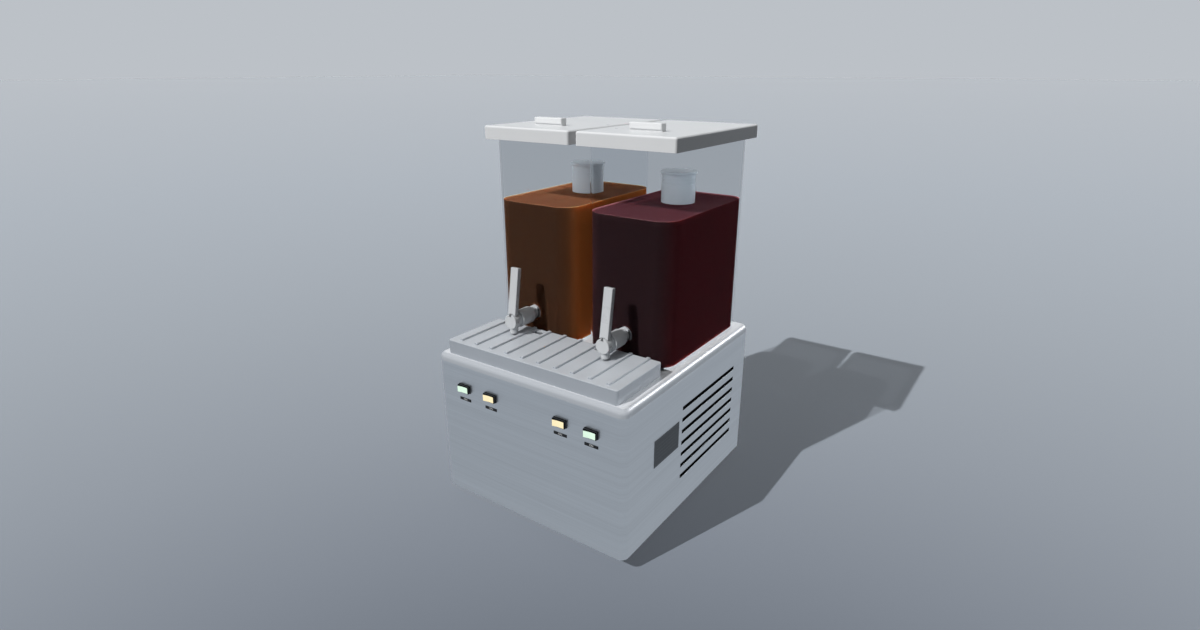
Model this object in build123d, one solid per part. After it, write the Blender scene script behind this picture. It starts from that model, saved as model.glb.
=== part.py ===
from build123d import *
import os
from math import cos, radians, sin, sqrt, tan

# Refrigerated juice dispenser with two clear bowls. Millimetres, +Z up, front towards -Y.
# The origin is on the floor, under the middle of the cabinet.

# Cabinet
cabinet_width = 410.0
cabinet_depth = 460.0
cabinet_height = 278.5  # lower edge to deck
foot_height = 30.0
sheet = 1.5  # wall of the bent sheet pieces
corner_radius = 14.0  # upright corners
rim_radius = 10.0  # rounded edge of the deck
rim_land = 5.0  # straight stretch between the rounding and the seam
lip_depth = 12.0  # how far the deck's lip reaches into the wrap
return_width = 34.0  # rear edges of the wrap, bent inwards

# Louvres in both sides
louvre_count = 7
louvre_length = 212.0
louvre_height = 8.0
louvre_pitch = 23.2
louvre_bottom = 60.0  # lowest slot above the cabinet's lower edge
louvre_back = 61.5  # rear end of the slots, from the cabinet's back

# Rear panel
vent_count = 6
vent_length = 210.0
vent_height = 8.0
vent_pitch = 20.0
vent_bottom = 110.0
screw_radius = 2.0
screw_head_radius = 4.0
screw_head_height = 2.4
screw_length = 9.0
screw_inset = 8.0  # from the panel's side edge, and from the lips behind it
screw_rows = 4
bumper_radius = 11.0
bumper_inset_x = 26.0
bumper_inset_z = 30.0

# Feet
foot_radius = 19.0
foot_taper = 4.0
foot_inset_x = 58.0
foot_inset_y = 62.0
stud_radius = 4.0
stud_length = 9.0

# Rating plate on the right side, left blank
plate_length = 84.0
plate_height = 51.5
plate_thickness = 0.6
plate_front = 90.3  # from the cabinet's front
plate_bottom = 132.4

# Front switches
switch_inset = 64.5  # outer switches from the cabinet's sides
switch_pitch = 62.9
switch_names = ["stir_rocker_left", "cool_rocker_left", "cool_rocker_right", "stir_rocker_right"]
switch_height = 221.3  # centre above the cabinet's lower edge
bezel_width = 26.4
bezel_height = 14.4
bezel_reach = 5.0
bezel_collar = 0.5
bezel_collar_depth = 1.0
bezel_depth = 22.0  # behind the front sheet
bezel_wall = 0.9
rocker_tilt = 5.0  # each way from level
rocker_rise = 1.4  # middle of the lens above the bezel
rocker_root = 4.0  # behind the pivot
pivot_sink = 1.0  # pivot behind the front sheet's face
trunnion_radius = 1.5

# Power inlet
inlet_inset = 93.0  # from the cabinet's left side
inlet_z = 48.0  # above the cabinet's lower edge
inlet_width = 31.0
inlet_height = 24.0
inlet_depth = 26.0
inlet_wall = 2.5
inlet_flange = 6.0
inlet_flange_depth = 2.5
socket_depth = 17.0
prong_width = 2.0
prong_height = 4.0
prong_length = 14.0
prong_spread = 7.0
prong_rise = 4.0

# Drip tray
tray_width = 367.4
tray_height = 25.6
tray_margin = 8.6  # behind the cabinet's front
tray_gap = 8.0  # ahead of the bowls
tray_corner = 4.0
pan_wall = 2.0
grille_thickness = 4.0
grille_edge = 1.6
rib_count = 10
rib_pitch = 35.5
rib_width = 6.5
rib_height = 3.3
rib_edge = 0.8
rib_margin = 9.9
drain_rib_count = 3  # ribs outside each drain
drain_length = 22.0
drain_width = 9.0
drain_margin = 12.0  # behind the drains, to the tray's back
grille_lip = 5.0
grille_lip_wall = 2.0

# Bowls
bowl_width = 175.3
bowl_depth = 292.8
bowl_height = 377.7
bowl_gap = 28.0
bowl_back_margin = 16.5  # from the cabinet's back
bowl_corner = 38.0
bowl_wall = 3.0
bowl_floor = 4.0
collar_height = 14.0
collar_wall = 3.0
bowl_gasket_width = 4.0
bowl_gasket_height = 12.0

# Lids
lid_overhang = 7.0
lid_height = 23.3
lid_cover = 10.0  # skirt below the bowl's rim
lid_wall = 3.0
lid_corner = 4.0
lid_edge = 3.5
lid_lip_depth = 10.0
lid_lip_wall = 2.5
lid_seat_width = 7.0
handle_length = 62.0
handle_width = 16.0
handle_height = 13.5
handle_setback = 72.3  # centre behind the lid's front edge
handle_edge = 2.0
handle_groove = 2.5
handle_groove_height = 3.5
handle_stud_radius = 3.0
handle_stud_spread = 40.0

# Evaporator towers, stirrers and their drives
tower_inset = 114.0  # axis ahead of the bowl's back
tower_radius = 27.5
tower_wall = 2.0
boss_radius = 42.0
boss_height = 14.0
spigot_radius = 30.0
spigot_length = 26.0
port_radius = 4.0
port_length = 10.0
port_spread = 12.0
suction_drop = 9.0
capillary_drop = 19.0
axle_radius = 3.0
axle_length = 8.0
stirrer_height = 314.0  # top above the deck
bell_radius = 30.75
bell_wall = 2.0
bell_plate = 4.0
bell_length = 112.0
bell_hub_radius = 8.0
bell_hub_height = 9.0
bell_rim_radius = 33.3
bell_rim_height = 4.5
bell_rim_edge = 1.2
groove_count = 3
groove_pitch = 6.0
groove_width = 1.4
groove_sink = 0.7
vane_count = 4
vane_radius = 40.0
vane_thickness = 2.5
vane_height = 42.0
magnet_radius = 21.0
magnet_height = 10.0
magnet_gap = 1.0
shaft_radius = 3.0
shaft_entry = 16.0
coil_radius = 25.0
coil_wall = 3.5
coil_margin = 6.0
motor_flange_radius = 34.0
motor_flange_thickness = 4.0
motor_radius = 30.0
motor_height = 54.0

# Taps
tap_height = 52.5  # axis above the deck
tap_reach = 65.2  # front of the hub ahead of the bowl
hub_radius = 13.5
hub_depth = 13.5
hub_edge = 1.5
hub_wall = 2.5
neck_radius = 10.5
barrel_radius = 15.5
barrel_length = 31.0
barrel_edge = 1.2
barrel_taper = 10.0  # narrowing end towards the bowl
shank_radius = 9.0
shank_proud = 3.0
chamber_radius = 8.8
chamber_overlap = 14.0  # chamber into the barrel
bore_radius = 6.0
guide_wall = 1.4  # ring round the plunger's stem, held in the bore by spokes
guide_length = 6.0
guide_inset = 2.0  # ahead of the shank's end
spoke_count = 3
spoke_width = 1.6
spoke_root = 0.5
tap_gasket_radius = 11.5
tap_gasket_thickness = 3.0
nut_radius = 15.0
nut_thickness = 7.0
spout_radius = 7.7
spout_bore = 4.7
spout_offset = 3.2  # behind the pin
spout_gap = 4.0  # above the tray's plate
lever_length = 99.0
lever_width = 17.5
lever_thickness = 9.0
lever_edge = 1.3
lever_lean = 9.1
lever_swing = 30.0
tongue_width = 5.0
tongue_thickness = 4.5
eye_radius = 3.8
pin_radius = 1.8
nose_radius = 1.8
toe_back = 2.5
toe_drop = 6.0
head_thickness = 2.5
stem_radius = 2.5
seat_radius = 8.2
seat_thickness = 3.0
spring_radius = 6.6
spring_wire = 1.6

# Refrigeration parts inside the cabinet
compressor_inset_x = 110.0  # from the cabinet's left side
compressor_ahead = 102.5  # axis ahead of the condenser's middle
compressor_radius = 68.0
compressor_height = 118.0
compressor_dome = 20.0
compressor_plate = 150.0
compressor_plate_thickness = 3.0
grommet_radius = 9.0
grommet_height = 12.0
grommet_spread = 128.0
stub_radius = 4.0
stub_length = 12.0
condenser_gap = 8.0  # from the right wall
condenser_thickness = 36.0
condenser_length = 205.0
condenser_lift = 14.0
condenser_height = 186.0
fin_pitch = 8.0
fin_thickness = 1.0
end_plate = 2.0
condenser_tubes = 6
condenser_tube_radius = 4.0
shroud_gap = 4.5  # from the condenser
shroud_foot = 16.0
fan_height = 104.0  # axis above the pan
fan_radius = 64.0
fan_clearance = 4.0
fan_inset = 14.0  # blade plane behind the shroud
fan_blades = 5
blade_width = 32.0
blade_thickness = 2.0
blade_pitch = 25.0
fan_hub_radius = 13.0
fan_hub_length = 18.0
fan_motor_gap = 3.0
fan_motor_radius = 27.0
fan_motor_length = 44.0
fan_shaft_radius = 3.0
fan_shaft_entry = 14.0
pedestal_width = 30.0
drier_x = 20.0
drier_inset = 55.0  # from the cabinet's back
drier_length = 80.0
drier_radius = 12.0
drier_height = 30.0  # axis above the pan
drier_foot = 10.0
line_radius = 3.0
line_bend = 10.0
line_height = 182.0  # discharge line's top run above the pan
capillary_radius = 1.5
capillary_spread = 6.0
capillary_bend = 6.0
control_inset = 155.0  # from the cabinet's right side
control_width = 110.0
control_depth = 70.0
control_height = 66.0
control_front = 34.0  # from the cabinet's front
control_edge = 3.0

# Clearances
fit_gap = 0.3  # pieces that drop into or past one another
running_gap = 0.05  # shafts, pins and trunnions in their holes
contact_gap = 0.2  # faces that meet when a valve or thrust face closes
swing_gap = 0.4  # round parts that swing past one another

# Levels and places worked out from the sizes above
deck_z = foot_height + cabinet_height
pan_top = foot_height + sheet
seam_z = deck_z - rim_radius - rim_land
half_width = cabinet_width / 2
half_depth = cabinet_depth / 2
bowl_x = (bowl_gap + bowl_width) / 2
bowl_back = half_depth - bowl_back_margin
bowl_front = bowl_back - bowl_depth
bowl_y = (bowl_front + bowl_back) / 2
bowl_top = deck_z + bowl_height
lid_bottom = bowl_top - lid_cover
lid_top = lid_bottom + lid_height
lid_front = bowl_front - lid_overhang
tray_front = tray_margin - half_depth
tray_back = bowl_front - tray_gap
tray_depth = tray_back - tray_front
tray_y = (tray_front + tray_back) / 2
pan_rim = deck_z + tray_height - grille_thickness
tray_top = deck_z + tray_height
tower_y = bowl_back - tower_inset
stirrer_top = deck_z + stirrer_height
tower_top = stirrer_top - bell_plate - bell_hub_height - fit_gap
bell_bottom = stirrer_top - bell_length
motor_top = deck_z - spigot_length
magnet_top = tower_top - tower_wall - magnet_gap
bowl_gasket_inner = boss_radius + fit_gap
bowl_gasket_outer = bowl_gasket_inner + bowl_gasket_width
tap_z = deck_z + tap_height
hub_front = bowl_front - tap_reach
hub_back = hub_front + hub_depth
pin_y = (hub_front + hub_back) / 2
shoulder_y = bowl_front - tap_gasket_thickness
barrel_back = shoulder_y - barrel_taper
barrel_front = barrel_back - barrel_length
shank_end = bowl_front + bowl_wall + nut_thickness + shank_proud
chamber_back = barrel_front + chamber_overlap
head_front = pin_y + toe_back + nose_radius + contact_gap
head_back = head_front + head_thickness
spout_bottom = tray_top + spout_gap
switch_z = foot_height + switch_height
switch_x = half_width - switch_inset
switch_places = [-switch_x, switch_pitch - switch_x, switch_x - switch_pitch, switch_x]
inlet_x = inlet_inset - half_width
bezel_inner_x = bezel_width / 2 - bezel_wall
bezel_inner_z = bezel_height / 2 - bezel_wall
rocker_lean = (pivot_sink + bezel_reach) * tan(radians(rocker_tilt))
rocker_half = (bezel_inner_x - fit_gap - rocker_lean) * cos(radians(rocker_tilt))
lens_middle = pivot_sink + bezel_reach + rocker_rise
lens_end = lens_middle + rocker_half * tan(radians(rocker_tilt))
rocker_tip = lens_end * cos(radians(rocker_tilt)) + rocker_half * sin(radians(rocker_tilt)) - pivot_sink
bumper_height = rocker_tip - sheet  # the bumpers stand out behind as far as the rockers do in front
panel_half = half_width - corner_radius - sheet
condenser_x1 = half_width - sheet - condenser_gap
condenser_x0 = condenser_x1 - condenser_thickness
condenser_x = (condenser_x0 + condenser_x1) / 2
louvre_y1 = half_depth - louvre_back
louvre_y0 = louvre_y1 - louvre_length
condenser_y = (louvre_y0 + louvre_y1) / 2
condenser_z0 = pan_top + condenser_lift
condenser_z1 = condenser_z0 + condenser_height
shroud_x1 = condenser_x0 - shroud_gap
shroud_x0 = shroud_x1 - sheet
fan_x = shroud_x0 - fan_inset
fan_z = pan_top + fan_height
fan_motor_x1 = fan_x - fan_hub_length / 2 - fan_motor_gap
fan_motor_x0 = fan_motor_x1 - fan_motor_length
compressor_x = compressor_inset_x - half_width
compressor_y = condenser_y - compressor_ahead
compressor_base = pan_top + grommet_height
compressor_top = compressor_base + compressor_plate_thickness + compressor_height
drier_z = pan_top + drier_height
drier_back = half_depth - drier_inset
drier_front = drier_back - drier_length
control_x = half_width - control_inset
line_z = pan_top + line_height
suction_z = deck_z - suction_drop
capillary_z = deck_z - capillary_drop
port_x = bowl_x - spigot_radius - port_length
hands = {"left": -1, "right": 1}


# Plain shapes by their faces


def block(x0, x1, y0, y1, z0, z1):
    return Pos((x0 + x1) / 2, (y0 + y1) / 2, (z0 + z1) / 2) * Box(x1 - x0, y1 - y0, z1 - z0)


def slab(width, depth, radius, x, y, z0, z1):
    return Pos(x, y, z0) * extrude(RectangleRounded(width, depth, radius), z1 - z0)


def rod_x(radius, y, z, x0, x1):
    return Pos((x0 + x1) / 2, y, z) * Rot(0, 90, 0) * Cylinder(radius, abs(x1 - x0))


def rod_y(radius, x, z, y0, y1):
    return Pos(x, (y0 + y1) / 2, z) * Rot(90, 0, 0) * Cylinder(radius, y1 - y0)


def rod_z(radius, x, y, z0, z1):
    return Pos(x, y, (z0 + z1) / 2) * Cylinder(radius, z1 - z0)


def ring_z(outer, inner, x, y, z0, z1):
    return rod_z(outer, x, y, z0, z1) - rod_z(inner, x, y, z0, z1)


def pipe(points, radius, bend):
    path = FilletPolyline(*points, radius=bend)
    return sweep(Plane(origin=path @ 0, z_dir=path % 0) * Circle(radius), path=path)


def top_edges(shape):
    return shape.edges().group_by(Axis.Z)[-1]


# Cabinet


def cabinet_slab(inset, z0, z1):
    return slab(cabinet_width - 2 * inset, cabinet_depth - 2 * inset, corner_radius - inset, 0, 0, z0, z1)


def sheet_ring(z0, z1, inset=0.0):
    return cabinet_slab(inset, z0, z1) - cabinet_slab(inset + sheet, z0, z1)


def louvre_levels():
    return [foot_height + louvre_bottom + i * louvre_pitch for i in range(louvre_count)]


def screw_places():
    low = foot_height + lip_depth + screw_inset
    high = seam_z - lip_depth - screw_inset
    step = (high - low) / (screw_rows - 1)
    x = panel_half - screw_inset
    return [(s * x, low + i * step) for s in hands.values() for i in range(screw_rows)]


def cabinet_wrap():
    wrap = sheet_ring(foot_height, seam_z)
    window = half_width - return_width
    wrap -= block(-window, window, half_depth - 2 * sheet, half_depth + sheet, foot_height, seam_z)
    for z in louvre_levels():
        wrap -= block(-cabinet_width, cabinet_width, louvre_y0, louvre_y1, z, z + louvre_height)
    for x in switch_places:
        wrap -= switch_block(x, bezel_width / 2 + running_gap, bezel_height / 2 + running_gap,
                             -half_depth - sheet, -half_depth + 2 * sheet)
    for x, z in screw_places():
        wrap -= rod_y(screw_radius + running_gap, x, z, half_depth - 2 * sheet, half_depth + sheet)
    return wrap


def top_deck():
    shell = fillet(top_edges(cabinet_slab(0, seam_z, deck_z)), rim_radius)
    shell -= fillet(top_edges(cabinet_slab(sheet, seam_z, deck_z - sheet)), rim_radius - sheet)
    root = rim_land / 2
    lip = sheet_ring(seam_z - lip_depth, seam_z + root, sheet + fit_gap)
    lip += sheet_ring(seam_z, seam_z + root, sheet)
    shell += lip
    for hand in hands.values():
        hole = spigot_radius + running_gap
        shell -= rod_z(hole, hand * bowl_x, tower_y, deck_z - 2 * sheet, deck_z + sheet)
    return shell


def base_pan():
    inset = sheet + fit_gap
    tray = sheet_ring(foot_height, foot_height + lip_depth, inset)
    tray += cabinet_slab(inset, foot_height, pan_top)
    for x, y in foot_places():
        tray -= rod_z(stud_radius + running_gap, x, y, 0, deck_z)
    return tray


def rear_panel():
    panel = block(-panel_half, panel_half, half_depth, half_depth + sheet, foot_height, seam_z)
    through = (half_depth - sheet, half_depth + 2 * sheet)
    for i in range(vent_count):
        z = foot_height + vent_bottom + i * vent_pitch
        panel -= block(-vent_length / 2, vent_length / 2, *through, z, z + vent_height)
    for x, z in screw_places():
        panel -= rod_y(screw_radius + running_gap, x, z, *through)
    for x, z in bumper_places():
        panel -= rod_y(screw_radius, x, z, *through)
    gap = 2 * running_gap
    return panel - inlet_block(0, 0, inlet_width + gap, inlet_height + gap, *through)


def rear_screws():
    back = half_depth + sheet
    screws = []
    for x, z in screw_places():
        head = rod_y(screw_head_radius, x, z, back, back + screw_head_height)
        screws.append(head + rod_y(screw_radius, x, z, back - screw_length, back))
    return screws


def bumper_places():
    x = panel_half - bumper_inset_x
    low = foot_height + bumper_inset_z
    high = seam_z - bumper_inset_z
    return [(s * x, z) for s in hands.values() for z in (low, high)]


def rear_bumpers():
    back = half_depth + sheet
    bumpers = []
    for x, z in bumper_places():
        pad = rod_y(bumper_radius, x, z, back, back + bumper_height)
        pad = fillet(pad.edges().group_by(Axis.Y)[-1], bumper_height / 3)
        bumpers.append(pad + rod_y(screw_radius, x, z, back - sheet, back))
    return bumpers


def foot_places():
    x = half_width - foot_inset_x
    y = half_depth - foot_inset_y
    return [(sx * x, sy * y) for sx in (-1, 1) for sy in (-1, 1)]


def feet():
    made = []
    for x, y in foot_places():
        foot = Pos(x, y, foot_height / 2) * Cone(foot_radius - foot_taper, foot_radius, foot_height)
        made.append(foot + rod_z(stud_radius, x, y, foot_height, foot_height + stud_length))
    return made


def rating_plate():
    y = plate_front - half_depth
    z = foot_height + plate_bottom
    return block(half_width, half_width + plate_thickness, y, y + plate_length, z, z + plate_height)


# Front switches


def switch_block(x, half_x, half_z, y0, y1):
    return block(x - half_x, x + half_x, y0, y1, switch_z - half_z, switch_z + half_z)


def switch_bezels():
    made = []
    half_x = bezel_width / 2
    half_z = bezel_height / 2
    front = -half_depth - bezel_reach
    floor = pivot_sink + rocker_root + rocker_half * sin(radians(rocker_tilt)) + fit_gap - half_depth
    for x in switch_places:
        body = switch_block(x, half_x, half_z, front, bezel_depth - half_depth)
        body += switch_block(x, half_x + bezel_collar, half_z + bezel_collar,
                             -half_depth - bezel_collar_depth, -half_depth)
        body -= switch_block(x, bezel_inner_x, bezel_inner_z, front, floor)
        hole = trunnion_radius + running_gap
        made.append(body - rod_z(hole, x, pivot_sink - half_depth, switch_z - half_z, switch_z + half_z))
    return made


def rocker(x):
    outline = Polyline((-rocker_half, rocker_root), (-rocker_half, -lens_end), (0, -lens_middle),
                       (rocker_half, -lens_end), (rocker_half, rocker_root), close=True)
    half = bezel_inner_z - fit_gap
    cap = Pos(0, 0, -half) * extrude(make_face(outline), 2 * half)
    reach = bezel_inner_z + bezel_wall / 2
    cap += rod_z(trunnion_radius, 0, 0, -reach, reach)
    return Pos(x, pivot_sink - half_depth, switch_z) * Rot(0, 0, rocker_tilt) * cap


# Power inlet


def inlet_block(dx, dz, width, height, y0, y1):
    x = inlet_x + dx
    z = foot_height + inlet_z + dz
    return block(x - width / 2, x + width / 2, y0, y1, z - height / 2, z + height / 2)


def power_inlet():
    back = half_depth + sheet
    face = back + inlet_flange_depth
    body = inlet_block(0, 0, inlet_width, inlet_height, face - inlet_depth, face)
    body += inlet_block(0, 0, inlet_width + 2 * inlet_flange, inlet_height + inlet_flange, back, face)
    root = face - socket_depth
    body -= inlet_block(0, 0, inlet_width - 2 * inlet_wall, inlet_height - 2 * inlet_wall, root, face)
    for dx, dz in ((-prong_spread, 0), (prong_spread, 0), (0, prong_rise)):
        body += inlet_block(dx, dz, prong_width, prong_height, root, root + prong_length)
    return body


# Drip tray


def rib_places():
    return [(i - (rib_count - 1) / 2) * rib_pitch for i in range(rib_count)]


def drain_places():
    ribs = rib_places()
    x = (ribs[drain_rib_count - 1] + ribs[drain_rib_count]) / 2
    return [x, -x]


def drip_pan():
    pan = slab(tray_width, tray_depth, tray_corner, 0, tray_y, deck_z, pan_rim)
    inner = 2 * pan_wall
    return pan - slab(tray_width - inner, tray_depth - inner, tray_corner - pan_wall, 0, tray_y,
                      deck_z + pan_wall, pan_rim)


def drip_grille():
    plate = slab(tray_width, tray_depth, tray_corner, 0, tray_y, pan_rim, tray_top)
    plate = fillet(top_edges(plate), grille_edge)
    lip = 2 * (pan_wall + fit_gap)
    bottom = pan_rim - grille_lip
    corner = tray_corner - pan_wall
    ring = slab(tray_width - lip, tray_depth - lip, corner, 0, tray_y, bottom, pan_rim)
    thin = lip + 2 * grille_lip_wall
    ring -= slab(tray_width - thin, tray_depth - thin, corner, 0, tray_y, bottom, pan_rim)
    plate += ring
    drain_back = tray_back - drain_margin
    for x in drain_places():
        plate -= block(x - drain_length / 2, x + drain_length / 2, drain_back - drain_width, drain_back,
                       pan_rim, tray_top)
    rib = block(-rib_width / 2, rib_width / 2, tray_front + rib_margin, tray_back - grille_edge,
                tray_top - grille_edge, tray_top + rib_height)
    rib = fillet(top_edges(rib), rib_edge)
    for x in rib_places():
        plate += Pos(x, 0, 0) * rib
    return plate


# Bowls and lids


def bowl(x):
    shell = slab(bowl_width, bowl_depth, bowl_corner, x, bowl_y, deck_z, bowl_top)
    wall = 2 * bowl_wall
    shell -= slab(bowl_width - wall, bowl_depth - wall, bowl_corner - bowl_wall, x, bowl_y,
                  deck_z + bowl_floor, bowl_top)
    shell += rod_z(bowl_gasket_outer + collar_wall, x, tower_y, deck_z, deck_z + collar_height)
    shell -= rod_z(bowl_gasket_outer, x, tower_y, deck_z, deck_z + collar_height)
    shell -= rod_y(shank_radius + fit_gap, x, tap_z, bowl_front, bowl_front + bowl_wall)
    return shell


def bowl_gasket(x):
    return ring_z(bowl_gasket_outer, bowl_gasket_inner, x, tower_y, deck_z, deck_z + bowl_gasket_height)


def bowl_ring(x, outward, thickness, z0, z1):
    width = bowl_width + 2 * outward
    depth = bowl_depth + 2 * outward
    radius = bowl_corner + outward
    thin = 2 * thickness
    ring = slab(width, depth, radius, x, bowl_y, z0, z1)
    return ring - slab(width - thin, depth - thin, radius - thickness, x, bowl_y, z0, z1)


def handle_studs(x):
    y = lid_front + handle_setback
    return [(x + s * handle_stud_spread / 2, y) for s in (-1, 1)]


def lid(x):
    width = bowl_width + 2 * lid_overhang
    depth = bowl_depth + 2 * lid_overhang
    shell = slab(width, depth, lid_corner, x, bowl_y, lid_bottom, lid_top)
    shell = fillet(top_edges(shell), lid_edge)
    wall = 2 * lid_wall
    under = lid_top - lid_wall
    shell -= slab(width - wall, depth - wall, lid_corner - lid_wall, x, bowl_y, lid_bottom, under)
    shell += bowl_ring(x, lid_seat_width - bowl_wall - lid_lip_wall, lid_seat_width, bowl_top, under)
    shell += bowl_ring(x, -bowl_wall - fit_gap, lid_lip_wall, bowl_top - lid_lip_depth, under)
    for sx, sy in handle_studs(x):
        shell -= rod_z(handle_stud_radius + running_gap, sx, sy, under, lid_top)
    return shell


def lid_handle(x):
    y = lid_front + handle_setback
    half_l = handle_length / 2
    half_w = handle_width / 2
    bar = block(x - half_l, x + half_l, y - half_w, y + half_w, lid_top, lid_top + handle_height)
    bar = fillet(bar.edges().filter_by(Axis.Z) + top_edges(bar), handle_edge)
    for s in (-1, 1):
        depth = sorted((y + s * half_w, y + s * (half_w - handle_groove)))
        bar -= block(x - half_l, x + half_l, *depth, lid_top, lid_top + handle_groove_height)
    for sx, sy in handle_studs(x):
        bar += rod_z(handle_stud_radius, sx, sy, lid_top - lid_wall, lid_top)
    return bar


# Evaporators, stirrers and their drives


def evaporator(hand):
    x = hand * bowl_x
    body = rod_z(spigot_radius, x, tower_y, motor_top, deck_z)
    body += rod_z(boss_radius, x, tower_y, deck_z, deck_z + boss_height)
    body += rod_z(tower_radius, x, tower_y, deck_z, tower_top)
    body += rod_z(axle_radius, x, tower_y, tower_top, tower_top + axle_length)
    inner = tower_radius - tower_wall
    wall = x - hand * (inner + spigot_radius) / 2
    for y, z in ((tower_y - port_spread, capillary_z), (tower_y + port_spread, suction_z)):
        body += rod_x(port_radius, y, z, *sorted((wall, hand * port_x)))
    return body - rod_z(inner, x, tower_y, motor_top, tower_top - tower_wall)


def evaporator_coil(x):
    top = magnet_top - magnet_height - coil_margin
    return ring_z(coil_radius, coil_radius - coil_wall, x, tower_y, deck_z + coil_margin, top)


def stirrer(x):
    bell = rod_z(bell_radius, x, tower_y, bell_bottom, stirrer_top)
    rim = rod_z(bell_rim_radius, x, tower_y, stirrer_top - bell_rim_height, stirrer_top)
    bell += fillet(rim.edges().filter_by(GeomType.CIRCLE), bell_rim_edge)
    for i in range(groove_count):
        z = stirrer_top - bell_rim_height - (i + 1) * groove_pitch
        bell -= ring_z(bell_rim_radius, bell_radius - groove_sink, x, tower_y, z, z + groove_width)
    for i in range(vane_count):
        vane = block(bell_radius - bell_wall / 2, vane_radius, -vane_thickness / 2, vane_thickness / 2,
                     bell_bottom, bell_bottom + vane_height)
        bell += Pos(x, tower_y, 0) * Rot(0, 0, 360 * (i + 0.5) / vane_count) * vane
    bell -= rod_z(bell_radius - bell_wall, x, tower_y, bell_bottom, stirrer_top - bell_plate)
    bell += rod_z(bell_hub_radius, x, tower_y, tower_top + fit_gap, stirrer_top - bell_plate)
    return bell - rod_z(axle_radius + running_gap, x, tower_y, tower_top, tower_top + axle_length + fit_gap)


def drive_rotor(x):
    rotor = rod_z(magnet_radius, x, tower_y, magnet_top - magnet_height, magnet_top)
    return rotor + rod_z(shaft_radius, x, tower_y, motor_top - shaft_entry, magnet_top - magnet_height)


def stirrer_motor(x):
    body = rod_z(motor_flange_radius, x, tower_y, motor_top - motor_flange_thickness, motor_top)
    body += rod_z(motor_radius, x, tower_y, motor_top - motor_height, motor_top)
    hole = shaft_radius + running_gap
    return body - rod_z(hole, x, tower_y, motor_top - shaft_entry - fit_gap, motor_top)


# Taps


def lever_slot(x):
    ahead = radians(lever_swing - lever_lean)
    behind = radians(lever_lean)
    half = tongue_thickness / 2 + swing_gap
    top = 2 * hub_radius
    outline = Polyline((-half / cos(ahead), 0), (-half / cos(ahead) - top * tan(ahead), top),
                       (half / cos(behind) + top * tan(behind), top), (half / cos(behind), 0), close=True)
    wedge = extrude(Plane.YZ * make_face(outline), tongue_width / 2 + fit_gap, both=True)
    return Pos(x, pin_y, tap_z) * wedge


def stem_guide(x):
    y1 = shank_end - guide_inset
    y0 = y1 - guide_length
    hole = stem_radius + running_gap
    guide = rod_y(hole + guide_wall, 0, 0, y0, y1)
    for i in range(spoke_count):
        spoke = block(-spoke_width / 2, spoke_width / 2, y0, y1, 0, bore_radius + spoke_root)
        guide += Rot(0, 360 * i / spoke_count, 0) * spoke
    return Pos(x, 0, tap_z) * (guide - rod_y(hole, 0, 0, y0, y1))


def tap_body(x):
    hub = rod_y(hub_radius, x, tap_z, hub_front, hub_back)
    body = fillet(hub.edges().filter_by(GeomType.CIRCLE), hub_edge)
    body += rod_y(neck_radius, x, tap_z, pin_y, barrel_front)
    barrel = rod_y(barrel_radius, x, tap_z, barrel_front, barrel_back)
    body += fillet(barrel.edges().group_by(Axis.Y)[0], barrel_edge)
    taper = Rot(90, 0, 0) * Cone(tap_gasket_radius, barrel_radius, barrel_taper)
    body += Pos(x, (barrel_back + shoulder_y) / 2, tap_z) * taper
    body += rod_y(shank_radius, x, tap_z, barrel_back, shank_end)
    spout_y = pin_y + spout_offset
    body += rod_z(spout_radius, x, spout_y, spout_bottom, tap_z)
    body -= rod_y(chamber_radius, x, tap_z, hub_front + hub_wall, chamber_back)
    body -= rod_y(bore_radius, x, tap_z, chamber_back, shank_end)
    body -= rod_z(spout_bore, x, spout_y, spout_bottom, tap_z)
    body += stem_guide(x)
    body -= lever_slot(x)
    return body - rod_x(pin_radius, pin_y, tap_z, x - hub_radius, x + hub_radius)


def tap_gasket(x):
    ring = rod_y(tap_gasket_radius, x, tap_z, shoulder_y, bowl_front)
    return ring - rod_y(shank_radius + running_gap, x, tap_z, shoulder_y, bowl_front)


def tap_nut(x):
    start = bowl_front + bowl_wall
    hexagon = Plane(origin=(x, start, tap_z), z_dir=(0, 1, 0)) * RegularPolygon(nut_radius, 6)
    nut = extrude(hexagon, nut_thickness)
    return nut - rod_y(shank_radius + running_gap, x, tap_z, start, start + nut_thickness)


def lever_pin(x):
    reach = sqrt(hub_radius**2 - pin_radius**2)
    return rod_x(pin_radius, pin_y, tap_z, x - reach, x + reach)


def tap_lever(x):
    half_w = lever_width / 2
    half_t = lever_thickness / 2
    clear = sqrt((hub_depth / 2 - hub_edge) ** 2 + (hub_radius - hub_edge) ** 2) + hub_edge + swing_gap
    bar = block(-half_w, half_w, -half_t, half_t, 0, lever_length)
    bar = fillet(bar.edges().filter_by(Axis.Z) + top_edges(bar), lever_edge)
    bar -= Sphere(clear)
    half = tongue_width / 2
    bar += block(-half, half, -tongue_thickness / 2, tongue_thickness / 2, 0, clear + tongue_width)
    lever = Rot(-lever_lean, 0, 0) * bar
    toe = Circle(eye_radius).edges() + (Pos(toe_back, -toe_drop) * Circle(nose_radius)).edges()
    lever += extrude(Plane.YZ * make_hull(toe), half, both=True)
    lever -= rod_x(pin_radius + running_gap, 0, 0, -lever_width, lever_width)
    return Pos(x, pin_y, tap_z) * lever


def tap_plunger(x):
    stem = rod_y(chamber_radius - fit_gap, x, tap_z, head_front, head_back)
    stem += rod_y(stem_radius, x, tap_z, head_front, shank_end + contact_gap)
    seat = shank_end + contact_gap
    return stem + rod_y(seat_radius, x, tap_z, seat, seat + seat_thickness)


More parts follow.
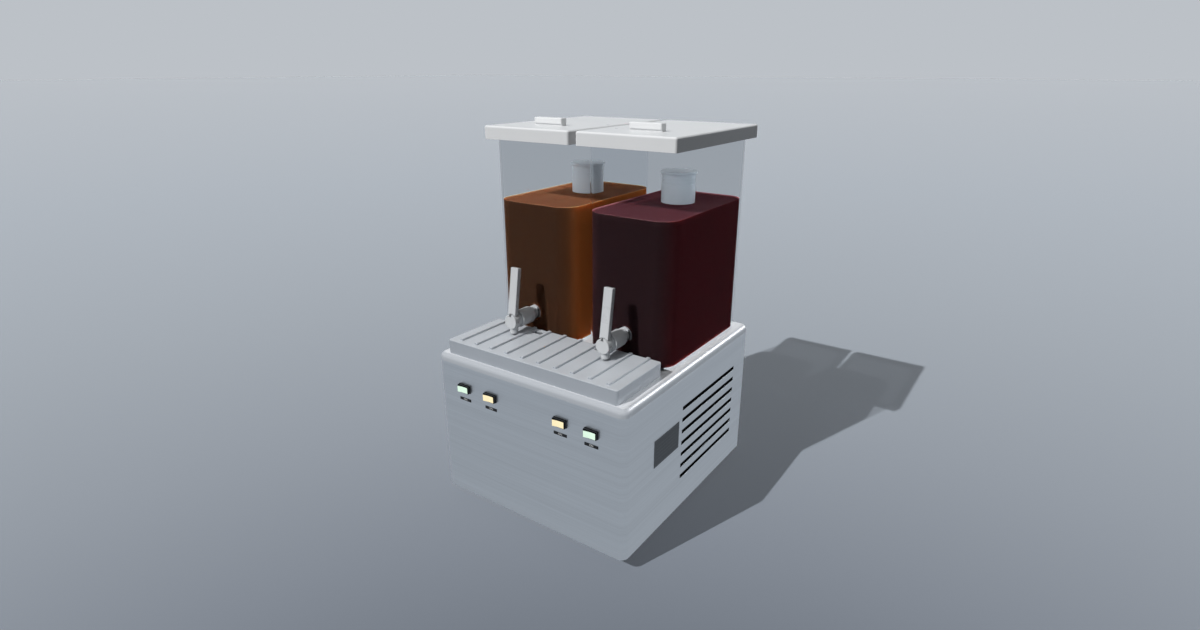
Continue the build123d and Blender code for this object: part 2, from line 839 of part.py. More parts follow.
def tap_spring(x):
    sleeve = rod_y(spring_radius, x, tap_z, head_back, chamber_back)
    return sleeve - rod_y(spring_radius - spring_wire, x, tap_z, head_back, chamber_back)


# Refrigeration parts


def compressor_stubs():
    x = compressor_x
    y = compressor_y
    spread = compressor_radius / 3
    return {"left": (x - spread, y + spread), "right": (x, y), "discharge": (x + spread, y + spread)}


def compressor():
    half = compressor_plate / 2
    body = block(compressor_x - half, compressor_x + half, compressor_y - half, compressor_y + half,
                 compressor_base, compressor_base + compressor_plate_thickness)
    can = rod_z(compressor_radius, compressor_x, compressor_y,
                compressor_base + compressor_plate_thickness, compressor_top)
    body += fillet(top_edges(can), compressor_dome)
    for x, y in compressor_stubs().values():
        body += rod_z(stub_radius, x, y, compressor_top - stub_radius, compressor_top + stub_length)
    return body


def compressor_grommets():
    half = grommet_spread / 2
    places = [(compressor_x + sx * half, compressor_y + sy * half) for sx in (-1, 1) for sy in (-1, 1)]
    return [rod_z(grommet_radius, x, y, pan_top, compressor_base) for x, y in places]


def condenser():
    y0 = condenser_y - condenser_length / 2
    y1 = condenser_y + condenser_length / 2
    core = block(condenser_x0, condenser_x1, y0, y0 + end_plate, pan_top, condenser_z1)
    core += block(condenser_x0, condenser_x1, y1 - end_plate, y1, pan_top, condenser_z1)
    step = condenser_height / condenser_tubes
    for i in range(condenser_tubes):
        core += rod_y(condenser_tube_radius, condenser_x, condenser_z0 + (i + 0.5) * step, y0, y1)
    fins = int((condenser_length - 2 * fin_pitch) / fin_pitch)
    for i in range(fins):
        y = condenser_y + (i - (fins - 1) / 2) * fin_pitch
        core += block(condenser_x0, condenser_x1, y - fin_thickness / 2, y + fin_thickness / 2,
                      condenser_z0, condenser_z1)
    inlet, outlet = condenser_ports()
    core += rod_y(stub_radius, condenser_x, inlet[2], inlet[1], y0)
    core += rod_y(stub_radius, condenser_x, outlet[2], y1, outlet[1])
    return core


def condenser_ports():
    half = condenser_length / 2 + stub_length
    return (condenser_x, condenser_y - half, line_z), (condenser_x, condenser_y + half, drier_z)


def fan_shroud():
    half = fan_radius + 4 * fan_clearance
    plate = block(shroud_x0, shroud_x1, condenser_y - half, condenser_y + half, pan_top, fan_z + half)
    plate += block(shroud_x0 - shroud_foot, shroud_x1, condenser_y - half, condenser_y + half,
                   pan_top, pan_top + sheet)
    hole = fan_radius + fan_clearance
    return plate - rod_x(hole, condenser_y, fan_z, shroud_x0 - sheet, shroud_x1 + sheet)


def fan_motor():
    body = rod_x(fan_motor_radius, condenser_y, fan_z, fan_motor_x0, fan_motor_x1)
    half = pedestal_width / 2
    middle = (fan_motor_x0 + fan_motor_x1) / 2
    body += block(middle - half / 2, middle + half / 2, condenser_y - half, condenser_y + half,
                  pan_top, fan_z)
    hole = fan_shaft_radius + running_gap
    return body - rod_x(hole, condenser_y, fan_z, fan_motor_x1 - fan_shaft_entry - fit_gap, fan_motor_x1)


def fan_blade():
    rotor = rod_x(fan_hub_radius, 0, 0, -fan_hub_length / 2, fan_hub_length / 2)
    half_t = blade_thickness / 2
    half_w = blade_width / 2
    blade = Rot(0, 0, blade_pitch) * block(-half_t, half_t, -half_w, half_w, 0, fan_radius)
    blade &= rod_x(sqrt(fan_radius**2 - half_w**2), 0, 0, -fan_radius, fan_radius)
    for i in range(fan_blades):
        rotor += Rot(360 * i / fan_blades, 0, 0) * blade
    rotor += rod_x(fan_shaft_radius, 0, 0, -fan_hub_length / 2 - fan_motor_gap - fan_shaft_entry, 0)
    return Pos(fan_x, condenser_y, fan_z) * rotor


def filter_drier():
    can = rod_y(drier_radius, drier_x, drier_z, drier_front, drier_back)
    middle = (drier_front + drier_back) / 2
    can += block(drier_x - drier_foot, drier_x + drier_foot, middle - drier_foot, middle + drier_foot,
                 pan_top, drier_z)
    return can


def discharge_line():
    x, y = compressor_stubs()["discharge"]
    end = condenser_ports()[0]
    front = end[1] - 3 * line_bend
    points = [(x, y, compressor_top + stub_length), (x, y, line_z), (x, front, line_z),
              (end[0], front, line_z), end]
    return pipe(points, line_radius, line_bend)


def liquid_line():
    start = condenser_ports()[1]
    back = start[1] + 3 * line_bend
    points = [start, (start[0], back, drier_z), (drier_x, back, drier_z), (drier_x, drier_back, drier_z)]
    return pipe(points, line_radius, line_bend)


def capillaries():
    made = []
    ahead = tower_y - port_spread - 6 * capillary_bend
    for hand in hands.values():
        x = drier_x + hand * capillary_spread
        port = (hand * port_x, tower_y - port_spread, capillary_z)
        points = [(x, drier_front, drier_z), (x, ahead, drier_z), (x, ahead, capillary_z),
                  (x, port[1], capillary_z), port]
        made.append(pipe(points, capillary_radius, capillary_bend))
    return made


def suction_lines():
    made = []
    for name, hand in hands.items():
        x, y = compressor_stubs()[name]
        turn = drier_x - 4 * line_bend + hand * line_bend
        port = (hand * port_x, tower_y + port_spread, suction_z)
        points = [port, (turn, port[1], suction_z), (turn, y, suction_z), (x, y, suction_z),
                  (x, y, compressor_top + stub_length)]
        made.append(pipe(points, line_radius, line_bend))
    return made


def control_box():
    y = control_front - half_depth
    half = control_width / 2
    box = block(control_x - half, control_x + half, y, y + control_depth, pan_top, pan_top + control_height)
    return fillet(box.edges().filter_by(Axis.Z) + top_edges(box), control_edge)


nodes = {
    "cabinet_wrap": cabinet_wrap(),
    "top_deck": top_deck(),
    "base_pan": base_pan(),
    "rear_panel": rear_panel(),
    "rear_screws": rear_screws(),
    "rear_bumpers": rear_bumpers(),
    "feet": feet(),
    "rating_plate": rating_plate(),
    "switch_bezels": switch_bezels(),
    "power_inlet": power_inlet(),
    "drip_pan": drip_pan(),
    "drip_grille": drip_grille(),
    "compressor": compressor(),
    "compressor_grommets": compressor_grommets(),
    "condenser": condenser(),
    "fan_shroud": fan_shroud(),
    "fan_motor": fan_motor(),
    "fan_blade": fan_blade(),
    "filter_drier": filter_drier(),
    "discharge_line": discharge_line(),
    "liquid_line": liquid_line(),
    "capillaries": capillaries(),
    "suction_lines": suction_lines(),
    "control_box": control_box(),
}
for name, place in zip(switch_names, switch_places):
    nodes[name] = rocker(place)
for name, hand in hands.items():
    nodes["evaporator_" + name] = evaporator(hand)
    for piece in (evaporator_coil, stirrer, drive_rotor, stirrer_motor, bowl, bowl_gasket, lid, lid_handle,
                  tap_body, tap_gasket, tap_nut, lever_pin, tap_lever, tap_plunger, tap_spring):
        nodes[piece.__name__ + "_" + name] = piece(hand * bowl_x)

os.makedirs("parts", exist_ok=True)
for name, shape in nodes.items():
    solids = shape if isinstance(shape, list) else [shape]
    export_step(Compound(children=[s for piece in solids for s in piece.solids()]), f"parts/{name}.step")
    print(name, round(sum(piece.volume for piece in solids)))
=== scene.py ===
import math

import bmesh
import bpy
from mathutils import Matrix, Vector


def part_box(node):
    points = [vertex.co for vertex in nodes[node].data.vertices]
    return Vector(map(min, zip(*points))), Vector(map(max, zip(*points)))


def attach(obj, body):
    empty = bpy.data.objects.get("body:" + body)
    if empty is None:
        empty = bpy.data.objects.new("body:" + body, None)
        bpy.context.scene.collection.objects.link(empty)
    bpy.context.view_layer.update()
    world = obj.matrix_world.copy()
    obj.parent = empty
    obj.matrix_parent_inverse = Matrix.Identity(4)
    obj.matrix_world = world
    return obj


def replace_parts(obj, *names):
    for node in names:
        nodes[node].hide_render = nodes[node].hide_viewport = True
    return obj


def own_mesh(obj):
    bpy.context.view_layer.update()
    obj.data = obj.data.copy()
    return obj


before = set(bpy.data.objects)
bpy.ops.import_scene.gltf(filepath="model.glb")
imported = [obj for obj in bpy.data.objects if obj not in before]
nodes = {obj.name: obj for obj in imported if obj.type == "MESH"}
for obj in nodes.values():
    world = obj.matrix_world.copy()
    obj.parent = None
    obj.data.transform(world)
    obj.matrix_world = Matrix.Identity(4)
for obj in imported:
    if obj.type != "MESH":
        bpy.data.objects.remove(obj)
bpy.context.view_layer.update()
sides = {"left": -1, "right": 1}
print("frame loaded,", len(nodes), "nodes")


# colours are picked as 0-255 screen values
def tint(*screen):
    shares = [value / 255 for value in screen]
    linear = [share / 12.92 if share < 0.04045 else ((share + 0.055) / 1.055) ** 2.4 for share in shares]
    return linear + [1.0]


# an input takes a value, or another node's socket
def feed(tree, node, inputs):
    for key, value in inputs.items():
        if isinstance(value, bpy.types.NodeSocket):
            tree.links.new(value, node.inputs[key])
        else:
            node.inputs[key].default_value = value


def put(tree, kind, inputs=None, **settings):
    node = tree.nodes.new("ShaderNode" + kind)
    for name, value in settings.items():
        setattr(node, name, value)
    feed(tree, node, inputs or {})
    return node


def sums(tree, operation, first, second=0.0, third=0.0):
    return put(tree, "Math", {0: first, 1: second, 2: third}, operation=operation).outputs[0]


def ranged(tree, value, low, high, toLow=0.0, toHigh=1.0):
    ends = {"Value": value, "From Min": low, "From Max": high, "To Min": toLow, "To Max": toHigh}
    return put(tree, "MapRange", ends).outputs["Result"]


def blended(tree, mode, factor, first, second):
    mix = put(tree, "Mix", {0: factor, 6: first, 7: second}, data_type="RGBA", blend_type=mode)
    return mix.outputs[2]  # sockets 6, 7 and 2 are the ones for colour


def noise(tree, place, **inputs):
    return put(tree, "TexNoise", {"Vector": place, **inputs}).outputs[0]


def grouped(tree, group, **inputs):
    return put(tree, "Group", inputs, node_tree=group).outputs


# the way that the surface faces, along each axis
def facing(tree):
    return put(tree, "SeparateXYZ", {0: put(tree, "NewGeometry").outputs["Normal"]}).outputs


def startGroup(name, inputs, outputs):
    group = bpy.data.node_groups.new(name, "ShaderNodeTree")
    for way, labels in (("INPUT", inputs), ("OUTPUT", outputs)):
        for label in labels:
            kind = "Vector" if label in ("Vector", "Normal") else "Float"
            group.interface.new_socket(label, in_out=way, socket_type="NodeSocket" + kind)
    start = group.nodes.new("NodeGroupInput").outputs
    end = group.nodes.new("NodeGroupOutput")
    return group, start, end


# fine hairlines over broader soft bands, along whichever way the mapping stretches them
brushLook = {"bandScale": 0.09, "bandShare": 1.1, "middle": 1.05, "glossSwing": 0.16}


def brushGroup():
    group, start, end = startGroup("brushLines", ["Vector", "Contrast"], ["Shade", "Gloss", "Height"])
    hair = noise(group, start["Vector"], Scale=1.0, Detail=4.0, Roughness=0.7)
    wide = put(group, "VectorMath", {0: start["Vector"], "Scale": brushLook["bandScale"]}, operation="SCALE")
    band = noise(group, wide.outputs[0], Scale=1.0, Detail=3.0, Roughness=0.6)
    both = sums(group, "MULTIPLY_ADD", band, brushLook["bandShare"], hair)
    swing = sums(group, "SUBTRACT", both, brushLook["middle"])
    feed(group, end, {"Shade": sums(group, "MULTIPLY_ADD", swing, start["Contrast"], 1.0),
                      "Gloss": sums(group, "MULTIPLY", swing, brushLook["glossSwing"]),
                      "Height": hair})
    return group


# spark-eroded mould skin: a fine grain and a slow change of tone
skinLook = {"slowScale": 21.0, "middle": 0.5, "glossSwing": 0.3}


def skinGroup():
    group, start, end = startGroup("mouldedSkin", ["Vector", "Grain", "Mottle"], ["Tone", "Gloss", "Height"])
    grain = noise(group, start["Vector"], Scale=start["Grain"], Detail=2.0)
    slow = noise(group, start["Vector"], Scale=skinLook["slowScale"], Detail=3.0)
    swing = sums(group, "SUBTRACT", slow, skinLook["middle"])
    feed(group, end, {"Tone": sums(group, "MULTIPLY_ADD", swing, start["Mottle"], 1.0),
                      "Gloss": sums(group, "MULTIPLY", swing, skinLook["glossSwing"]),
                      "Height": grain})
    return group


# where hands and wiping cloths have been: smears, only inside larger patches
marksLook = {"smear": (0.45, 0.72), "patch": (0.42, 0.62), "patchScale": 0.27}


def marksGroup():
    group, start, end = startGroup("handMarks", ["Vector", "Size"], ["Mask"])
    smear = noise(group, start["Vector"], Scale=start["Size"], Detail=4.0, Roughness=0.62, Distortion=0.7)
    patchSize = sums(group, "MULTIPLY", start["Size"], marksLook["patchScale"])
    patch = noise(group, start["Vector"], Scale=patchSize, Detail=2.0)
    feed(group, end, {"Mask": sums(group, "MULTIPLY", ranged(group, smear, *marksLook["smear"]),
                                   ranged(group, patch, *marksLook["patch"]))})
    return group


# rubbed corners, from how far the rounded normal leaves the flat one
rubLook = {"turn": (0.99, 0.86), "samples": 4}


def rubGroup():
    group, start, end = startGroup("edgeRub", ["Radius"], ["Mask", "Normal"])
    soft = put(group, "Bevel", {"Radius": start["Radius"]}, samples=rubLook["samples"]).outputs[0]
    flat = put(group, "NewGeometry").outputs["Normal"]
    turn = put(group, "VectorMath", {0: soft, 1: flat}, operation="DOT_PRODUCT").outputs["Value"]
    feed(group, end, {"Mask": ranged(group, turn, *rubLook["turn"]), "Normal": soft})
    return group


brushLines = brushGroup()
mouldedSkin = skinGroup()
handMarks = marksGroup()
edgeRub = rubGroup()


def startMaterial(name):
    mat = bpy.data.materials.new(name)
    mat.use_nodes = True
    tree = mat.node_tree
    return mat, tree, tree.nodes["Principled BSDF"], put(tree, "TexCoord").outputs["Object"]


def bumped(tree, look, height, **normal):
    inputs = {"Height": height, "Strength": look["bump"], "Distance": look["bumpDepth"], **normal}
    return put(tree, "Bump", inputs).outputs["Normal"]


# thin pale plastic lets some light through to what it covers
def shadeLess(tree, shader, share):
    shadow = put(tree, "LightPath").outputs["Is Shadow Ray"]
    feed(tree, shader, {"Alpha": sums(tree, "MULTIPLY_ADD", shadow, -share, 1.0)})


metalUsual = {"markSize": 26.0, "marks": 0.08, "edge": 0.0006, "metal": 1.0, "bump": 0.06,
              "bumpDepth": 0.0003, "paintedTopFacing": (0.9, 0.99)}


def metalFinish(name, look):
    look = {**metalUsual, **look}
    mat, tree, shader, place = startMaterial(name)
    drawn = put(tree, "Mapping", {"Vector": place, "Scale": look["stretch"]}).outputs[0]
    lines = grouped(tree, brushLines, Vector=drawn, Contrast=look["contrast"])
    marks = grouped(tree, handMarks, Vector=place, Size=look["markSize"])
    rub = grouped(tree, edgeRub, Radius=look["edge"])
    gloss = sums(tree, "ADD", lines["Gloss"], look["rough"])
    metal = look["metal"]
    if "paintedTopMetal" in look:  # painted light: flat tops get less metal, so they look lighter
        metal = ranged(tree, facing(tree)["Z"], *look["paintedTopFacing"], metal, look["paintedTopMetal"])
    feed(tree, shader, {
        "Base Color": blended(tree, "MULTIPLY", 1.0, look["colour"], lines["Shade"]),
        "Roughness": sums(tree, "MULTIPLY_ADD", marks["Mask"], look["marks"], gloss),
        "Metallic": metal,
        "Normal": bumped(tree, look, lines["Height"], Normal=rub["Normal"])})
    return mat


plasticUsual = {"grain": 1500.0, "mottle": 0.06, "markSize": 34.0, "marks": 0.1, "edge": 0.0005,
                "rubbed": 0.0, "metal": 0.0, "coat": 0.0, "coatRough": 0.15, "shine": 0.5, "bump": 0.05,
                "bumpDepth": 0.0002, "paintedTopFacing": (0.5, 0.95)}


def plasticFinish(name, look):
    look = {**plasticUsual, **look}
    mat, tree, shader, place = startMaterial(name)
    skin = grouped(tree, mouldedSkin, Vector=place, Grain=look["grain"], Mottle=look["mottle"])
    marks = grouped(tree, handMarks, Vector=place, Size=look["markSize"])
    rub = grouped(tree, edgeRub, Radius=look["edge"])
    colour = blended(tree, "MULTIPLY", 1.0, look["colour"], skin["Tone"])
    worn = sums(tree, "MULTIPLY", rub["Mask"], look["rubbed"])
    colour = blended(tree, "MIX", worn, colour, look.get("edgeColour", look["colour"]))
    gloss = sums(tree, "ADD", skin["Gloss"], look["rough"])
    metal = look["metal"]
    if "paintedTopColour" in look:  # painted light: flat tops get a colour of their own and less metal, so they look lighter
        top = ranged(tree, facing(tree)["Z"], *look["paintedTopFacing"])
        paintedTopTone = blended(tree, "MULTIPLY", 1.0, look["paintedTopColour"], skin["Tone"])
        colour = blended(tree, "MIX", top, colour, paintedTopTone)
        metal = ranged(tree, top, 0.0, 1.0, metal, look["paintedTopMetal"])
    feed(tree, shader, {
        "Base Color": colour,
        "Roughness": sums(tree, "MULTIPLY_ADD", marks["Mask"], look["marks"], gloss),
        "Metallic": metal, "Coat Weight": look["coat"], "Coat Roughness": look["coatRough"],
        "Specular IOR Level": look["shine"],
        "Normal": bumped(tree, look, skin["Height"], Normal=rub["Normal"])})
    if "letThrough" in look:
        shadeLess(tree, shader, look["letThrough"])
    return mat


# zinc spangle for the hidden pressings
def zincFinish(name, look):
    mat, tree, shader, place = startMaterial(name)
    flakes = put(tree, "TexVoronoi", {"Vector": place, "Scale": look["flake"]}, feature="F1")
    grey = put(tree, "RGBToBW", {0: flakes.outputs["Color"]}).outputs[0]
    shade = ranged(tree, grey, *look["flakeGrey"], *look["flakeShade"])
    rub = grouped(tree, edgeRub, Radius=look["edge"])
    feed(tree, shader, {
        "Base Color": blended(tree, "MULTIPLY", 1.0, look["colour"], shade),
        "Metallic": look["metal"], "Roughness": ranged(tree, grey, 0.0, 1.0, *look["rough"]),
        "Normal": bumped(tree, look, grey, Normal=rub["Normal"])})
    return mat


# clear moulded wall, a little wavy
def clearFinish(name, look):
    mat, tree, shader, place = startMaterial(name)
    marks = grouped(tree, handMarks, Vector=place, Size=look["markSize"])
    ripple = noise(tree, place, Scale=look["ripple"], Detail=1.0)
    feed(tree, shader, {
        "Base Color": look["colour"], "IOR": look["bend"], "Specular IOR Level": look["shine"],
        "Transmission Weight": look["clear"],
        "Roughness": sums(tree, "MULTIPLY_ADD", marks["Mask"], look["marks"], look["rough"]),
        "Normal": bumped(tree, look, ripple)})
    shadeLess(tree, shader, look["letThrough"])
    return mat


# juice: its own dark colour, with painted light on the side faces and on the flat top, a painted glow where
# one is set, and soft clouds of pulp
juiceUsual = {"rough": 0.14, "bend": 1.03, "shine": 0.003, "clear": 0.1, "scatter": 0.9, "reach": 0.035,
              "spread": (1.0, 0.7, 0.6), "pulpGrey": (0.3, 0.7), "pulpShade": (0.9, 1.1),
              "paintedTopFacing": (0.5, 0.95), "bump": 0.03, "bumpDepth": 0.001}


def juiceFinish(name, look):
    look = {**juiceUsual, **look}
    mat, tree, shader, place = startMaterial(name)
    pulp = noise(tree, place, Scale=look["pulp"], Detail=4.0)
    faces = facing(tree)
    # painted light: faces turned along x take a lighter side colour, as if lit through from the far side
    across = sums(tree, "ABSOLUTE", faces["X"])
    thin = sums(tree, "POWER", across, look["turn"])
    thin = sums(tree, "MULTIPLY", thin, ranged(tree, pulp, *look["pulpGrey"], *look["pulpShade"]))
    colour = blended(tree, "MIX", thin, look["deep"], look["thin"])
    # painted light: flat tops take a lighter colour, as if lit from above
    colour = blended(tree, "MIX", ranged(tree, faces["Z"], *look["paintedTopFacing"]), colour, look["surface"])
    feed(tree, shader, {
        "Base Color": colour, "Roughness": look["rough"], "IOR": look["bend"],
        "Specular IOR Level": look["shine"], "Transmission Weight": look["clear"],
        "Subsurface Weight": look["scatter"], "Subsurface Scale": look["reach"],
        "Subsurface Radius": look["spread"], "Normal": bumped(tree, look, pulp)})
    if "glow" in look:  # painted glow: an emission on the side faces stands in for light that comes through from the far side
        lit = blended(tree, "MULTIPLY", 1.0, look["glow"], sums(tree, "POWER", across, look["glowTurn"]))
        feed(tree, shader, {"Emission Color": lit, "Emission Strength": 1.0})
    return mat


# lit lens with fine upright flutes behind its face
lensUsual = {"strength": 0.46, "flutes": 150.0, "fluteShade": (0.88, 1.0), "cloud": 160.0,
             "cloudGrey": (0.3, 0.7), "cloudShade": (0.9, 1.06), "rough": 0.22, "coat": 0.4, "bump": 0.12,
             "bumpDepth": 0.0003}


def lensFinish(name, look):
    look = {**lensUsual, **look}
    mat, tree, shader, place = startMaterial(name)
    wave = {"Vector": place, "Scale": look["flutes"], "Distortion": 0.0}
    flutes = put(tree, "TexWave", wave, bands_direction="X").outputs["Fac"]
    cloud = noise(tree, place, Scale=look["cloud"], Detail=1.0)
    glow = sums(tree, "MULTIPLY", ranged(tree, flutes, 0.0, 1.0, *look["fluteShade"]),
                ranged(tree, cloud, *look["cloudGrey"], *look["cloudShade"]))
    feed(tree, shader, {
        "Base Color": look["colour"], "Roughness": look["rough"], "Coat Weight": look["coat"],
        "Emission Color": blended(tree, "MULTIPLY", 1.0, look["glow"], glow),
        "Emission Strength": look["strength"], "Normal": bumped(tree, look, flutes)})
    return mat


# bare anodised plate with a thin border and plain empty rules
def plateFinish(name, look):
    mat, tree, shader, place = startMaterial(name)
    low, high = [Vector(corner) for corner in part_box("rating_plate")]
    middle = (low + high) / 2
    half = (high - low) / 2
    line = look["line"]
    rimY, rimZ = half.y - look["border"], half.z - look["border"]
    fieldY, fieldZ = half.y - look["margin"], half.z - look["margin"]
    axes = put(tree, "SeparateXYZ", {0: place}).outputs
    level = sums(tree, "SUBTRACT", axes["Z"], middle.z)
    up = sums(tree, "ABSOLUTE", level)
    across = sums(tree, "ABSOLUTE", sums(tree, "SUBTRACT", axes["Y"], middle.y))
    uprights = sums(tree, "MULTIPLY", sums(tree, "COMPARE", across, rimY, line),
                    sums(tree, "LESS_THAN", up, rimZ + line))
    crossbars = sums(tree, "MULTIPLY", sums(tree, "COMPARE", up, rimZ, line),
                     sums(tree, "LESS_THAN", across, rimY + line))
    field = sums(tree, "MULTIPLY", sums(tree, "LESS_THAN", across, fieldY),
                 sums(tree, "LESS_THAN", up, fieldZ))
    rule = sums(tree, "LESS_THAN", sums(tree, "PINGPONG", level, look["pitch"] / 2), line)
    ink = sums(tree, "MAXIMUM", uprights, crossbars)
    ink = sums(tree, "MAXIMUM", ink, sums(tree, "MULTIPLY", rule, field))
    drawn = put(tree, "Mapping", {"Vector": place, "Scale": look["stretch"]}).outputs[0]
    lines = grouped(tree, brushLines, Vector=drawn, Contrast=look["contrast"])
    base = blended(tree, "MULTIPLY", 1.0, look["colour"], lines["Shade"])
    feed(tree, shader, {
        "Base Color": blended(tree, "MIX", sums(tree, "MULTIPLY", ink, look["ink"]), base, look["inkColour"]),
        "Metallic": look["metal"], "Roughness": sums(tree, "ADD", lines["Gloss"], look["rough"]),
        "Normal": bumped(tree, look, ink)})
    return mat


# finish settings, and the carried-over nodes that wear each one
finishes = {
    "brushedSteel": {
        "make": metalFinish, "wearers": ["cabinet_wrap", "rear_panel"],
        "colour": tint(230, 234, 238), "rough": 0.36, "stretch": (5, 5, 900), "contrast": 0.24, "bump": 0.08,
        "markSize": 18.0},
    # painted light: the deck's flat top gets less metal
    "deckSteel": {
        "make": metalFinish, "wearers": ["top_deck"],
        "colour": tint(230, 232, 235), "rough": 0.4, "stretch": (5, 700, 5), "contrast": 0.14, "bump": 0.05,
        "metal": 0.74, "paintedTopMetal": 0.2},
    "evaporatorSteel": {
        "make": metalFinish, "wearers": ["evaporator"],
        "colour": tint(208, 211, 214), "rough": 0.2, "stretch": (40, 40, 900), "contrast": 0.1},
    "screwSteel": {
        "make": metalFinish,
        "colour": tint(186, 188, 190), "rough": 0.28, "stretch": (300, 300, 300), "contrast": 0.1},
    "pinSteel": {
        "make": metalFinish, "wearers": ["lever_pin", "tap_spring", "drive_rotor"],
        "colour": tint(192, 194, 196), "rough": 0.24, "stretch": (80, 900, 900), "contrast": 0.12},
    "copper": {
        "make": metalFinish, "wearers": ["filter_drier", "discharge_line", "liquid_line", "capillaries",
                                         "suction_lines", "evaporator_coil"],
        "colour": tint(206, 138, 104), "rough": 0.3, "stretch": (60, 60, 60), "contrast": 0.35, "marks": 0.2,
        "markSize": 60.0},
    "finAluminium": {
        "make": metalFinish, "wearers": ["condenser"],
        "colour": tint(200, 203, 206), "rough": 0.35, "stretch": (500, 8, 8), "contrast": 0.15},
    "panSteel": {
        "make": zincFinish, "wearers": ["base_pan", "fan_shroud"],
        "colour": tint(172, 176, 180), "rough": (0.34, 0.52), "flake": 90.0, "flakeGrey": (0.2, 0.8),
        "flakeShade": (0.86, 1.1), "edge": 0.0006, "metal": 0.85, "bump": 0.05, "bumpDepth": 0.0003},
    "lidWhite": {
        "make": plasticFinish, "wearers": ["lid", "lid_handle"],
        "colour": tint(227, 228, 229), "rough": 0.34, "grain": 1600.0, "mottle": 0.04, "marks": 0.14,
        "bump": 0.04, "letThrough": 0.32},
    "tapPlastic": {
        "make": plasticFinish, "wearers": ["tap_body", "tap_lever", "tap_nut"],
        "colour": tint(201, 203, 205), "rough": 0.3, "mottle": 0.05, "marks": 0.12, "coat": 0.15},
    "stirrerPlastic": {
        "make": plasticFinish, "wearers": ["stirrer", "tap_plunger"],
        "colour": tint(238, 249, 255), "rough": 0.32, "mottle": 0.05},
    # painted light: the tray's flat top gets its own colour and less metal
    "traySilver": {
        "make": plasticFinish, "wearers": ["drip_pan", "drip_grille"],
        "colour": tint(212, 216, 221), "rough": 0.5, "grain": 1900.0, "mottle": 0.1, "marks": 0.12,
        "bump": 0.06, "metal": 0.75, "paintedTopColour": tint(201, 205, 210), "paintedTopMetal": 0.15, "edge": 0.0016},
    "sealGrey": {
        "make": plasticFinish, "wearers": ["bowl_gasket", "tap_gasket"],
        "colour": tint(194, 196, 196), "rough": 0.6, "grain": 2600.0},
    "rubberDark": {
        "make": plasticFinish, "wearers": ["rear_bumpers", "compressor_grommets"],
        "colour": tint(38, 38, 39), "rough": 0.72, "grain": 1100.0, "mottle": 0.3, "bump": 0.16,
        "rubbed": 0.4, "edgeColour": tint(66, 66, 67)},
    "blackPlastic": {
        "make": plasticFinish, "wearers": ["power_inlet", "control_box"],
        "colour": tint(24, 24, 26), "rough": 0.4, "grain": 1800.0, "mottle": 0.25, "bump": 0.1,
        "rubbed": 0.35, "edgeColour": tint(58, 58, 61)},
    "frameBlack": {
        "make": plasticFinish,
        "colour": tint(12, 12, 13), "rough": 0.36, "mottle": 0.2},
    # near-black for the louvre vanes, and painted shade for the sheet and the slot liners
    "ventBlack": {
        "make": plasticFinish,
        "colour": tint(5, 5, 6), "rough": 0.7, "mottle": 0.2, "shine": 0.05},
    "fanPlastic": {
        "make": plasticFinish, "wearers": ["fan_blade"],
        "colour": tint(52, 53, 56), "rough": 0.45, "mottle": 0.2},
    "compressorBlack": {
        "make": plasticFinish, "wearers": ["compressor"],
        "colour": tint(30, 30, 33), "rough": 0.3, "grain": 500.0, "mottle": 0.2, "coat": 0.4, "rubbed": 0.3,
        "edgeColour": tint(90, 90, 92)},
    "motorGrey": {
        "make": plasticFinish, "wearers": ["fan_motor", "stirrer_motor"],
        "colour": tint(112, 115, 118), "rough": 0.4, "grain": 700.0, "mottle": 0.15, "rubbed": 0.3,
        "edgeColour": tint(160, 162, 164)},
    "bowlClear": {
        "make": clearFinish, "wearers": ["bowl"],
        "colour": tint(250, 251, 252), "bend": 1.015, "shine": 0.5, "clear": 1.0, "rough": 0.015,
        "marks": 0.07, "markSize": 14.0, "letThrough": 0.85, "ripple": 9.0, "bump": 0.04, "bumpDepth": 0.002},
    "plateDark": {
        "make": plateFinish, "wearers": ["rating_plate"],
        "colour": tint(96, 100, 104), "inkColour": tint(136, 141, 146), "ink": 0.7, "border": 0.0022,
        "margin": 0.0066, "line": 0.00025, "pitch": 0.0066, "stretch": (6, 8, 1400), "contrast": 0.3,
        "metal": 0.6, "rough": 0.42, "bump": 0.2, "bumpDepth": 0.0002},
    # deep is the juice's own colour; the side colour, the top colour and the glow are painted light
    "juiceOrange": {
        "make": juiceFinish,
        "deep": tint(56, 36, 25), "thin": tint(162, 91, 46), "surface": tint(121, 75, 50), "turn": 10.0,
        "pulp": 14.0, "glow": tint(53, 27, 8), "glowTurn": 1.5},
    "juiceRed": {
        "make": juiceFinish,
        "deep": tint(36, 23, 25), "thin": tint(62, 22, 25), "surface": tint(82, 42, 48), "turn": 3.6,
        "pulp": 11.0},
    "lensGreen": {
        "make": lensFinish,
        "colour": tint(200, 228, 206), "glow": tint(232, 255, 236)},
    "lensYellow": {
        "make": lensFinish,
        "colour": tint(240, 222, 172), "glow": tint(255, 242, 204)},
    "labelDark": {
        "make": plasticFinish,
        "colour": tint(14, 14, 16), "rough": 0.5, "mottle": 0.1, "edge": 0.0001},
    "labelPrint": {
        "make": plasticFinish,
        "colour": tint(222, 224, 224), "rough": 0.5, "mottle": 0.05, "edge": 0.0001},
}
mats = {}
for name, look in finishes.items():
    mats[name] = look["make"](name, look)
    for wearer in look.get("wearers", []):
        for node in (wearer, wearer + "_left", wearer + "_right"):
            if node in nodes:
                for slot in nodes[node].material_slots:
                    slot.material = mats[name]
print("finishes ready:", len(mats))

# pieces are drawn in millimetres, and the frame is in metres
metre = 1000
mm = 1 / metre
weld = 0.001  # points nearer than this are merged
straight = 0.99  # how nearly an edge or a face's normal lies along an axis


